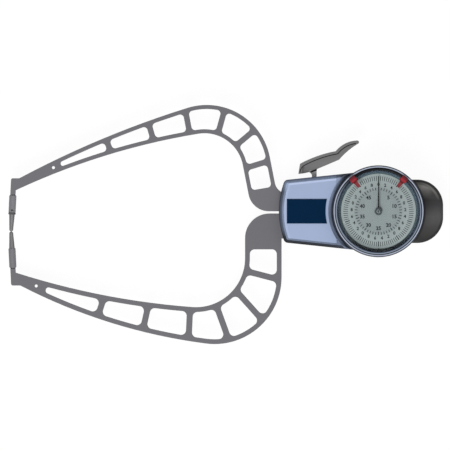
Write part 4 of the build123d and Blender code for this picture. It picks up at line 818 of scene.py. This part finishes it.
@dataclass
class Piece:
    """A new piece: its mesh as whole arrays of points and faces, and what it rides on."""

    name: str
    arrays: Arrays
    body: Body
    slot: Slot

    def make(self, material: bpy.types.Material) -> None:
        """Puts the arrays into a mesh at the origin, with its normals outwards, and dresses it.

        Args:
            material: the piece's material.
        """
        points, faces = self.arrays
        mesh = bpy.data.meshes.new(self.name)
        mesh.from_pydata((points * MM).tolist(), [], faces.tolist())
        work = bmesh.new()
        work.from_mesh(mesh)
        bmesh.ops.recalc_face_normals(work, faces=work.faces)
        work.to_mesh(mesh)
        work.free()
        mesh.materials.append(material)
        thing = stand(self.name, mesh)
        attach(thing, self.body.value)


def prisms(corners: np.ndarray, low: float, high: float) -> Arrays:
    """Raises flat four-sided outlines into closed blocks.

    Args:
        corners: an array of outlines, four corners each, x and y.
        low: the height of the undersides.
        high: the height of the tops.

    Returns:
        The blocks' points, each outline low and then high, and their four-sided faces.
    """
    count = len(corners)
    points = np.empty((count, 8, 3))
    points[:, :4, :2] = corners
    points[:, 4:, :2] = corners
    points[:, :4, 2] = low
    points[:, 4:, 2] = high
    sides = np.array([[0, 3, 2, 1], [4, 5, 6, 7], [0, 1, 5, 4], [1, 2, 6, 5], [2, 3, 7, 6], [3, 0, 4, 7]])
    faces = (np.arange(count)[:, None, None] * 8 + sides).reshape(-1, 4)
    return points.reshape(-1, 3), faces


def leftward(headings: np.ndarray) -> np.ndarray:
    """Turns flat vectors a quarter turn to the left."""
    return np.stack([-headings[:, 1], headings[:, 0]], axis=1)


def normals(path: np.ndarray) -> np.ndarray:
    """Gives a flat path's unit normals, on its left."""
    along = np.gradient(path, axis=0)
    return leftward(along / np.linalg.norm(along, axis=1, keepdims=True))


def rail(path: np.ndarray, width: float, low: float, high: float) -> Arrays:
    """Carries a small rectangle along a flat path, with its ends closed.

    Args:
        path: the points of the path's middle, x and y.
        width: the rectangle's width, half of it to each side along the path's normal.
        low: the height of its underside.
        high: the height of its top.

    Returns:
        The points, four to each point of the path, and the four-sided faces.
    """
    across = normals(path) * width / 2
    count = len(path)
    points = np.empty((count, 4, 3))
    points[:, :, :2] = path[:, None] + across[:, None] * np.array([-1, 1, 1, -1])[:, None]
    points[:, :2, 2] = low
    points[:, 2:, 2] = high
    step, corner = np.meshgrid(np.arange(count - 1), np.arange(4), indexing="ij")
    after = (corner + 1) % 4
    here, there = step * 4, step * 4 + 4
    walls = np.stack([here + corner, here + after, there + after, there + corner], axis=-1)
    ends = np.array([[3, 2, 1, 0], [4 * count - 4, 4 * count - 3, 4 * count - 2, 4 * count - 1]])
    return points.reshape(-1, 3), np.concatenate([walls.reshape(-1, 4), ends])


def arc_through(start: Point, middle: Point, end: Point, count: int) -> np.ndarray:
    """Gives points on the arc through three points, at even angles round its centre.

    Args:
        start: the first point.
        middle: a point between them on the arc.
        end: the last point.
        count: how many points there are.

    Returns:
        The points, x and y.
    """
    a, b, c = (np.array(p) for p in (start, middle, end))
    rows = 2 * np.array([b - a, c - a])
    centre = np.linalg.solve(rows, np.array([b @ b - a @ a, c @ c - a @ a]))
    angles = np.unwrap([math.atan2(*(p - centre)[::-1]) for p in (a, b, c)])
    swept = np.linspace(angles[0], angles[2], count)
    return centre + np.linalg.norm(a - centre) * np.stack([np.cos(swept), np.sin(swept)], axis=1)


@dataclass
class Lettering:
    """Plain numbers as thin raised ink, each string placed by its middle."""

    height: float
    low: float
    high: float
    bold: float = 0.035
    smoothness: int = 3
    joined_within: float = 1e-4

    def outline(self, text: str) -> Arrays:
        """Makes one string's closed mesh round its own middle.

        Args:
            text: the digits.

        Returns:
            The points, which are in millimetres, and the triangles.
        """
        curve = bpy.data.curves.new("digits", "FONT")
        curve.body = text
        curve.size = 1.0
        curve.resolution_u = self.smoothness
        curve.offset = self.bold
        curve.extrude = 0.5
        holder = stand("digits", curve)
        bpy.context.view_layer.update()
        mesh = bpy.data.meshes.new_from_object(holder.evaluated_get(bpy.context.evaluated_depsgraph_get()))
        work = bmesh.new()
        work.from_mesh(mesh)
        bmesh.ops.remove_doubles(work, verts=work.verts, dist=self.joined_within)
        bmesh.ops.triangulate(work, faces=work.faces)
        work.to_mesh(mesh)
        work.free()
        points = np.empty(len(mesh.vertices) * 3)
        mesh.vertices.foreach_get("co", points)
        corners = np.empty(len(mesh.loops), int)
        mesh.loops.foreach_get("vertex_index", corners)
        bpy.data.objects.remove(holder)
        bpy.data.curves.remove(curve)
        bpy.data.meshes.remove(mesh)
        points = points.reshape(-1, 3)
        low, high = points.min(axis=0), points.max(axis=0)
        points[:, :2] = (points[:, :2] - (low + high)[:2] / 2) * self.height / (high - low)[1]
        points[:, 2] = np.where(points[:, 2] > 0.0, self.high, self.low)
        return points, corners.reshape(-1, 3)

    def place(self, strings: Sequence[str], radius: float) -> Arrays:
        """Sets strings upright on a circle, clockwise from the top.

        Args:
            strings: the digits at each of the evenly spaced places, or none.
            radius: the circle that their middles stand on.

        Returns:
            The points and the triangles of them all.
        """
        made = {text: self.outline(text) for text in sorted(set(strings)) if text}
        points: List[np.ndarray] = []
        faces: List[np.ndarray] = []
        used = 0
        for number, text in enumerate(strings):
            if not text:
                continue
            angle = math.radians(90.0 - number * 360.0 / len(strings))
            shape, corners = made[text]
            points.append(shape + np.array([radius * math.cos(angle), radius * math.sin(angle), 0.0]))
            faces.append(corners + used)
            used += len(shape)
        return np.concatenate(points), np.concatenate(faces)


# The caliper


@dataclass
class Arms:
    """The two bowed arms of grey painted plate, and their holders and tips."""

    upper_grey: Colour = (111, 110, 115)
    lower_grey: Colour = (107, 106, 111)
    upper_steel: Colour = (120, 119, 123)
    lower_steel: Colour = (114, 113, 117)

    def dress(self) -> None:
        """Gives the arms, holders and tips their finishes."""
        for side, grey, steel in (
            ("fixed", self.lower_grey, self.lower_steel), ("moving", self.upper_grey, self.upper_steel),
        ):
            Finish(
                side + "_arm_grey", grey, roughness=0.62, specular=0.25, mottle=0.025, mottle_size=25.0,
                grain_size=0.35, grain_depth=0.006, wear=0.25, wear_and_highlight_colour=(150, 150, 154), wear_reach=0.2,
            ).dress(side + "_arm")
            Finish(
                side + "_contact_holder_steel", steel, roughness=0.45, specular=0.4, mottle=0.04,
                mottle_size=5.0, grain_size=0.2, grain_depth=0.004, wear=0.35, wear_reach=0.2,
            ).dress(side + "_contact_holder")
        # Painted shade: side darkens the tips' flanks.
        Finish(
            "tip_steel", (116, 115, 117), roughness=0.4, metallic=0.2, mottle=0.03, mottle_size=3.0,
            grain_size=0.15, grain_depth=0.003, wear=0.2, wear_and_highlight_colour=(200, 200, 204), wear_reach=0.15,
            side=0.9, side_shade_and_parting_colour=(40, 40, 43), side_start=0.05, side_end=0.55,
        ).dress("fixed_contact_tip", "moving_contact_tip")
        Finish(
            "dark_steel", (74, 74, 78), roughness=0.4, specular=0.4, mottle=0.05, mottle_size=2.0,
            grain_size=0.15, grain_depth=0.003, wear_and_highlight_colour=(120, 120, 124), wear_reach=0.12,
        ).dress("fixed_contact_screw", "moving_contact_screw", "moving_contact_collar")


@dataclass
class Housing:
    """The blue body with its panel, its bare label plate and the dark grip."""

    slate: Colour = (46, 51, 63)
    back: Colour = (66, 74, 90)
    panel: Colour = (158, 174, 205)
    label: Colour = (0, 33, 62)
    grip: Colour = (68, 68, 69)

    def dress(self) -> None:
        """Gives the shells, panel, label and grip their finishes."""
        Shell(
            "body_blue", self.slate, roughness=0.42, specular=0.2, mottle=0.05, mottle_size=14.0,
            grain_size=0.3, grain_depth=0.008, wear=0.12, wear_and_highlight_colour=(150, 162, 184), wear_reach=0.3,
            side_shade_and_parting_colour=(18, 20, 26),
        ).dress("front_shell")
        Finish(
            "back_blue", self.back, roughness=0.45, specular=0.2, mottle=0.05, mottle_size=14.0,
            grain_size=0.3, grain_depth=0.008, wear=0.2, wear_and_highlight_colour=(150, 162, 184), wear_reach=0.3,
        ).dress("back_shell")
        Panel(
            "panel_blue", self.panel, specular=0.3, mottle=0.02, mottle_size=20.0, grain_size=0.3,
            grain_depth=0.006, wear=0.2, wear_and_highlight_colour=(192, 204, 236), wear_reach=0.4,
        ).dress("face_panel")
        Finish(
            "label_navy", self.label, roughness=0.6, specular=0.04, mottle=0.05, mottle_size=9.0,
            grain_size=0.25, grain_depth=0.004, wear_and_highlight_colour=(40, 70, 100), wear_reach=0.2,
        ).dress("label_plate")
        # The across stops are painted sheen and shade bands; side adds painted shade down the sides.
        Moulded(
            "grip_black", self.grip, specular=0.2, mottle=0.04, mottle_size=8.0, grain_size=0.5,
            grain_depth=0.012, wear=0.2, wear_and_highlight_colour=(104, 102, 100), wear_reach=0.8, side=0.8,
            side_shade_and_parting_colour=(34, 33, 33), side_start=0.08, side_end=0.5,
            across=(
                (-21.5, (38, 38, 38)), (-18.5, (44, 44, 44)), (-14.5, (56, 56, 55)), (-11.0, (63, 63, 63)),
                (-7.5, (76, 75, 75)), (-3.5, (80, 80, 80)), (0.0, (72, 72, 73)), (4.0, (54, 54, 56)),
                (7.5, (47, 47, 48)), (10.5, (74, 73, 72)), (13.5, (102, 101, 99)), (16.0, (126, 125, 122)),
                (18.0, (112, 111, 108)), (19.6, (60, 59, 58)), (21.5, (38, 37, 37)),
            ),
        ).dress("grip_cover", "grip_back_cover")


@dataclass
class Lever:
    """The thumb lever: its web, its pad, the painted shadow along the pad, and the stem's painted shadow and
    flare.

    The painted shadow along the pad is the lever's outline moved by strip. Points are as the model has them.
    """

    strip: Point = (1.2, -1.5)
    foot: Point = (-53.75, 27.2)
    bend: Point = (-52.6, 30.6)
    top_left: Point = (-51.0, 32.2)
    back: Point = (-35.0, 38.6)
    neck: Point = (-28.4, 40.1)
    crook: Point = (-21.9, 45.3)
    tip: Point = (-16.2, 46.95)
    arc_points: Tuple[int, int, int] = (16, 40, 24)
    pad_shadow_width: float = 0.6
    pad_shadow_depth: float = 0.1
    pad_shadow_lift: float = 0.04
    web_top: float = 15.5
    pad_top: float = 19.0
    flare: Tuple[Point, ...] = ((-44.2, 24.2), (-44.2, 26.9), (-46.4, 26.2), (-45.3, 25.6))
    flare_low: float = 13.0
    wedge: Tuple[Point, ...] = ((-45.6, 26.5), (-41.0, 28.5), (-41.0, 27.1), (-45.0, 25.6))

    def pad_shadow_path(self) -> np.ndarray:
        """Gives the middle of the painted shadow along the pad.

        Returns:
            The points, x and y, along three arcs from the foot to the tip.
        """
        run = arc_through(self.foot, self.bend, self.top_left, self.arc_points[0])[:-1]
        first = arc_through(self.top_left, self.back, self.neck, self.arc_points[1])
        second = arc_through(self.neck, self.crook, self.tip, self.arc_points[2])[1:]
        path = np.concatenate([run, first, second]) + np.array(self.strip)
        return path - normals(path) * self.pad_shadow_width / 2

    def build(self) -> None:
        """Makes the painted shadows along the pad and under the web, and the flare where the stem meets the
        web.
        """
        # Painted shadow: a dark finish for the strip along the pad and the block on the stem.
        line = Finish("lever_pad_shadow", (34, 34, 36), roughness=0.8, specular=0.1, mottle=0.1, wear=0.0)
        shadow = line.build()
        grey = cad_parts["lever_bracket"].material_slots[0].material
        low, high = -self.pad_shadow_depth, self.pad_shadow_lift
        pad_shadow = rail(self.pad_shadow_path(), self.pad_shadow_width, self.pad_top + low, self.pad_top + high)
        wedge = prisms(np.array([self.wedge]), self.web_top + low, self.web_top + high)
        flare = prisms(np.array([self.flare]), self.flare_low, self.web_top)
        for name, arrays, material in (
            ("lever_pad_shadow", pad_shadow, shadow), ("stem_shadow", wedge, shadow), ("stem_flare", flare, grey),
        ):
            Piece(name, arrays, Body.ARM, Slot.LEVER).make(material)

    def dress(self) -> None:
        """Gives the web, the stem and the pad their finishes."""
        Web(
            "lever_web", (121, 121, 122), roughness=0.6, specular=0.25, mottle=0.03, mottle_size=9.0,
            grain_size=0.3, grain_depth=0.006, wear=0.12, wear_and_highlight_colour=(150, 150, 152), wear_reach=0.2,
        ).dress("lever_bracket")
        Finish(
            "lever_pad", (112, 112, 113), roughness=0.6, specular=0.25, mottle=0.04, mottle_size=6.0,
            grain_size=0.5, grain_depth=0.012, wear=0.12, wear_and_highlight_colour=(140, 140, 142), wear_reach=0.3,
        ).dress("thumb_pad")


@dataclass(frozen=True)
class Marks:
    """A ring of marks, each a thin block along a radius.

    Every main-th mark is longer and thicker. The reach gives the radius where a plain mark
    starts, where a main one starts and where all end, and the widths are a plain mark's and a
    main one's.
    """

    count: int
    main: int
    reach: Triple
    widths: Point

    def make(self, low: float, high: float) -> Arrays:
        """Makes the blocks.

        Args:
            low: the height of their undersides.
            high: the height of their tops.

        Returns:
            The points and the faces.
        """
        number = np.arange(self.count)
        main = number % self.main == 0
        angle = math.pi / 2 - number * 2 * math.pi / self.count
        start = np.where(main, self.reach[1], self.reach[0])
        half = np.where(main, self.widths[1], self.widths[0]) / 2
        out = np.stack([np.cos(angle), np.sin(angle)], axis=1)
        across = leftward(out) * half[:, None]
        near, far = out * start[:, None], out * self.reach[2]
        return prisms(np.stack([near + across, near - across, far - across, far + across], axis=1), low, high)


@dataclass
class Print:
    """What is printed on the dial, two rings of marks and two of numbers, and the ring's notch."""

    dial_top: float = 26.5
    ink: float = 0.03
    outer: Marks = Marks(100, 10, (20.4, 20.1, 23.45), (0.4, 0.6))
    inner: Marks = Marks(50, 5, (14.0, 13.6, 15.75), (0.44, 0.56))
    outer_height: float = 2.25
    outer_radius: float = 17.9
    outer_count: int = 25
    outer_cycle: int = 5
    outer_step: int = 2
    inner_height: float = 2.6
    inner_radius: float = 11.3
    inner_count: int = 10
    inner_step: int = 5
    notch: Triple = (24.7, 25.6, 0.5)
    notch_high: float = 1.1

    def build(self) -> None:
        """Makes the marks, the numbers and the notch at the bottom of the ring."""
        ink = Finish(
            "dial_print", (26, 29, 32), roughness=0.6, specular=0.1, mottle=0.12, mottle_size=3.0, wear=0.0,
        ).build()
        low, high = self.dial_top - self.ink, self.dial_top + self.ink
        digits = [str(self.outer_step * (number % self.outer_cycle)) for number in range(self.outer_count)]
        tens = [""] + [str(self.inner_step * number) for number in range(1, self.inner_count)]
        near, far, half = self.notch
        notch = np.array([[(-half, -near), (half, -near), (half, -far), (-half, -far)]])
        pieces = {
            "outer_marks": self.outer.make(low, high),
            "inner_marks": self.inner.make(low, high),
            "outer_numbers": Lettering(self.outer_height, low, high).place(digits, self.outer_radius),
            "inner_numbers": Lettering(self.inner_height, low, high).place(tens, self.inner_radius),
        }
        for name, arrays in pieces.items():
            Piece(name, arrays, Body.BEZEL, Slot.PRINT).make(ink)
        arrays = prisms(notch, low, self.dial_top + self.notch_high)
        Piece("ring_notch", arrays, Body.BEZEL, Slot.RING).make(ink)


@dataclass
class Dial:
    """The bezel with its ring, plate and crystal, and the hands and red markers."""

    border: Colour = (171, 178, 180)
    plate: Colour = (167, 174, 176)
    middle: Colour = (151, 158, 161)
    hub_shadow: Colour = (84, 89, 92)
    red: Colour = (130, 27, 35)

    def dress(self) -> None:
        """Gives the dial's pieces their finishes."""
        # Painted shade on the bezel: the dark bands on the inner slope, in the groove and at the outer edge,
        # and the arc, a painted dark reflection on the upper inner facet.
        Banded(
            "bezel_metal", (128, 136, 150), roughness=0.4, metallic=0.4, specular=0.12, mottle_size=9.0,
            grain_depth=0.0012, pitch=0.12,
            bands=(
                (26.9, (52, 64, 80)), (27.4, (54, 66, 82)), (27.75, (80, 92, 110)), (28.0, (136, 147, 163)),
                (28.45, (136, 147, 163)), (28.65, (34, 40, 54)), (29.08, (30, 36, 50)),
                (29.3, (164, 171, 186)), (29.8, (154, 161, 176)), (30.0, (64, 70, 84)), (30.2, (18, 22, 32)),
                (30.6, (24, 29, 40)),
            ),
            steps=((27.15, 1.0), (28.0, 0.26), (28.45, 0.0), (31.0, 0.0)), step_depth=0.4,
            bright_from=28.9, arc=(27.1, 29.05), arc_from=0.3, arc_full=0.8, arc_shade_share=1.0,
            arc_shade_colour=(7, 9, 14),
        ).dress("bezel_ring")
        # Painted shadow: the hub_shadow band darkens the plate round the hub.
        Banded(
            "dial_grey", self.plate, roughness=0.6, specular=0.15, mottle=0.015, grain_depth=0.0008,
            pitch=0.15,
            bands=(
                (0.0, self.hub_shadow), (2.5, self.hub_shadow), (2.75, self.middle), (9.5, self.middle),
                (13.0, (149, 156, 159)), (15.2, (149, 156, 159)), (16.4, (161, 168, 170)), (19.6, self.plate),
                (21.0, self.border), (28.0, self.border),
            ),
        ).dress("dial_plate")
        # Painted shade: the arc darkens the lower part of the ring.
        Banded(
            "ring_slate", (64, 76, 88), specular=0.05, mottle_size=8.0, grain_depth=0.0008,
            bands=(
                (24.8, (106, 122, 126)), (25.1, (86, 102, 108)), (25.8, (78, 93, 104)), (26.4, (78, 93, 108)),
                (26.8, (56, 68, 84)), (28.0, (50, 61, 76)),
            ),
            arc=(25.1, 27.2), arc_from=-0.55, arc_full=-0.85, arc_shade_share=0.85, arc_shade_colour=(10, 16, 22),
        ).dress("dial_ring")
        glass = Glass("crystal_clear", (249, 252, 251), roughness=0.0, mottle_size=30.0, grain_size=6.0)
        glass.dress("crystal")
        Finish("gasket_black", (24, 25, 28), roughness=0.7, specular=0.2, wear=0.0).dress("crystal_gasket")
        Banded(
            "hand_black", (6, 7, 8), roughness=0.55, specular=0.1, mottle=0.1, mottle_size=4.0,
            grain_depth=0.002, pitch=0.1,
            bands=((0.0, (70, 77, 79)), (2.15, (70, 77, 79)), (2.35, (4, 5, 6)), (28.0, (3, 4, 5))),
        ).dress("large_hand", "short_hand")
        Banded(
            "hub_steel", (128, 136, 140), roughness=0.4, metallic=0.1, specular=0.3, mottle=0.06,
            mottle_size=2.0, grain_depth=0.003, pitch=0.1,
            bands=(
                (0.0, (24, 27, 29)), (0.5, (28, 31, 33)), (0.75, (120, 128, 130)), (1.1, (124, 132, 134)),
                (1.3, (80, 86, 88)), (1.6, (76, 82, 84)), (2.3, (76, 82, 84)),
            ),
        ).dress("hand_hub")
        # Painted light and shade on the markers: a painted highlight band across the middle of the head,
        # darker bands towards its ends, and painted side shade on the flanks.
        Banded(
            "marker_red", self.red, roughness=0.42, specular=0.2, mottle=0.1, mottle_size=3.0,
            grain_depth=0.001, pitch=0.3, side=0.9, side_shade_and_parting_colour=(58, 8, 16), side_start=0.12, side_end=0.7,
            bands=(
                (20.0, (112, 54, 60)), (21.5, (126, 50, 56)), (24.0, (130, 46, 52)), (24.7, (94, 18, 24)),
                (25.4, (122, 20, 28)), (26.3, (164, 42, 52)), (27.0, (136, 30, 40)), (27.8, (100, 22, 34)),
                (29.4, (70, 17, 27)),
            ),
        ).dress("left_marker", "right_marker")


class Movement:
    """The wheels, plates, screws and pins inside, which open cases and back views show."""

    def dress(self) -> None:
        """Gives the hidden pieces their finishes."""
        Turned(
            "brass", (196, 160, 88), roughness=0.3, metallic=1.0, mottle_size=4.0, grain_depth=0.004,
            wear_and_highlight_colour=(230, 204, 140), wear_reach=0.12, pitch=0.15,
        ).dress(
            "intermediate_wheel", "short_hand_wheel", "lay_wheel", "movement_lower_plate",
            "movement_upper_plate", "movement_pillars", "pivot_bush", "thrust_washers", "hairspring_stud",
        )
        Finish(
            "steel", (168, 170, 176), roughness=0.32, metallic=1.0, mottle=0.05, mottle_size=4.0,
            grain_size=0.2, grain_depth=0.003, wear_reach=0.15,
        ).dress(
            "pivot_pin", "spring_post", "open_stop_pin", "spring_pin", "dowel_pins", "sector_gear",
            "bezel_snap_ring", "dial_retainer",
        )
        Turned(
            "arbor_steel", (36, 38, 43), roughness=0.45, specular=0.2, mottle_size=2.0, grain_depth=0.001,
            wear_and_highlight_colour=(120, 124, 132), wear_reach=0.08, pitch=0.1,
        ).dress("intermediate_arbor", "short_hand_tube", "lay_arbor", "centre_arbor")
        Finish(
            "spring_steel", (112, 116, 128), roughness=0.28, metallic=1.0, mottle=0.08, mottle_size=2.0,
            grain_size=0.15, grain_depth=0.002, wear=0.2, wear_reach=0.08,
        ).dress("return_spring", "hairspring")
        Finish(
            "screw_steel", (96, 98, 104), roughness=0.35, metallic=0.9, mottle_size=3.0, grain_size=0.2,
            grain_depth=0.004, wear=0.5, wear_and_highlight_colour=(180, 182, 188), wear_reach=0.15,
        ).dress(
            "housing_screws", "fixed_arm_screws", "grip_screws", "lever_screws", "sector_screws",
            "plate_screws", "case_screws",
        )
        Turned(
            "case_aluminium", (150, 154, 162), roughness=0.4, metallic=0.9, mottle=0.05, mottle_size=9.0,
            grain_depth=0.005, pitch=0.25,
        ).dress("dial_case")


# Floor, light and camera


@dataclass
class Studio:
    """Pale floor, soft light that comes from the foot of the photograph, and the camera.

    Rays of the kinds in seen_by show the background as white: straight, mirrored and through
    glass. All others get only its light.
    """

    seen_by: Tuple[str, ...] = ("Camera", "Glossy", "Transmission")
    floor_low: float = -0.05
    floor_half: float = 3000.0
    floor_grey: float = 0.07
    floor_shown: float = 0.95
    floor_light: float = 0.7
    ambient: float = 0.3
    lamp_size: float = 0.7
    key_place: Triple = (-260.0, -620.0, 950.0)
    key_power: float = 10.8
    rim_place: Triple = (420.0, 560.0, 700.0)
    rim_power: float = 1.0
    aim: Triple = (-100.0, -9.0, 15.0)
    camera_place: Triple = (-102.22, -9.14, 13348.3)
    camera_lens: float = 1600.0
    camera_width: float = 36.0
    camera_reach: float = 50.0

    def world(self) -> None:
        """Sets a plain white world that lights at its ambient level and shows as white."""
        world = bpy.data.worlds.new("studio")
        world.use_nodes = True
        world.node_tree.nodes.clear()
        graph = Graph(world.node_tree)
        strength = graph.rays(*self.seen_by).span(0.0, 1.0, (self.ambient, 1.0))
        light = graph.put("Background", {"Color": WHITE, "Strength": strength})
        graph.node("OutputWorld", {"Surface": light})
        bpy.context.scene.world = world

    def floor(self) -> None:
        """Lays the floor, which shows as white and keeps the caliper's shadow."""
        material, graph = blank("floor", (255, 255, 255))
        soft = graph.put("BsdfDiffuse", {"Color": level(self.floor_grey)})
        glow = graph.put("Emission", {"Color": WHITE, "Strength": self.floor_shown})
        shown = graph.put("AddShader", {0: soft, 1: glow})
        plain = graph.put("Emission", {"Color": WHITE, "Strength": self.floor_light})
        top = graph.put("MixShader", {0: graph.rays(*self.seen_by), 1: plain, 2: shown})
        under = graph.put("NewGeometry", {}, "Backfacing")
        both = graph.put("MixShader", {0: under, 1: top, 2: graph.put("BsdfTransparent", {})})
        graph.node("OutputMaterial", {"Surface": both})
        half = self.floor_half
        corners = np.array([(-half, -half), (half, -half), (half, half), (-half, half)])
        points = np.column_stack([corners, np.full(4, self.floor_low)]) * MM
        mesh = bpy.data.meshes.new("floor")
        mesh.from_pydata(points.tolist(), [], [(0, 1, 2, 3)])
        mesh.materials.append(material)
        thing = stand("floor", mesh)

    def lamp(self, name: str, place: Triple, power: float) -> None:
        """Hangs a soft square lamp that points at the caliper.

        Args:
            name: the lamp's name.
            place: where it hangs.
            power: its power in watts.
        """
        light = bpy.data.lights.new(name, "AREA")
        light.size = self.lamp_size
        light.energy = power
        toward = (Vector(self.aim) - Vector(place)).normalized()
        stand(name, light, place).rotation_euler = toward.to_track_quat("-Z", "Y").to_euler()

    def camera(self) -> None:
        """Sets the camera straight above the middle of the photograph's frame."""
        lens = bpy.data.cameras.new("camera")
        lens.lens = self.camera_lens
        lens.sensor_width = self.camera_width
        lens.clip_end = self.camera_reach
        bpy.context.scene.camera = stand("camera", lens, self.camera_place)

    def build(self) -> None:
        """Sets the world, the floor, the lamps and the camera."""
        self.world()
        self.floor()
        self.lamp("key", self.key_place, self.key_power)
        self.lamp("rim", self.rim_place, self.rim_power)
        self.camera()
        bpy.context.scene.view_settings.view_transform = "Standard"


def write_size() -> None:
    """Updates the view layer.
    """
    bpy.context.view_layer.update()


def main() -> None:
    """Builds and dresses the caliper piece by piece, and then the studio round it."""
    logging.basicConfig(level=logging.INFO, format="%(message)s")
    lever = Lever()
    steps: Tuple[Tuple[str, Callable[[], None]], ...] = (
        ("arms", Arms().dress),
        ("housing", Housing().dress),
        ("lever finish", lever.dress),
        ("lever line", lever.build),
        ("dial finish", Dial().dress),
        ("dial print", Print().build),
        ("movement", Movement().dress),
        ("studio", Studio().build),
    )
    for name, step in steps:
        step()
        LOG.info("made %s", name)
    write_size()


if __name__ == "__main__":
    main()
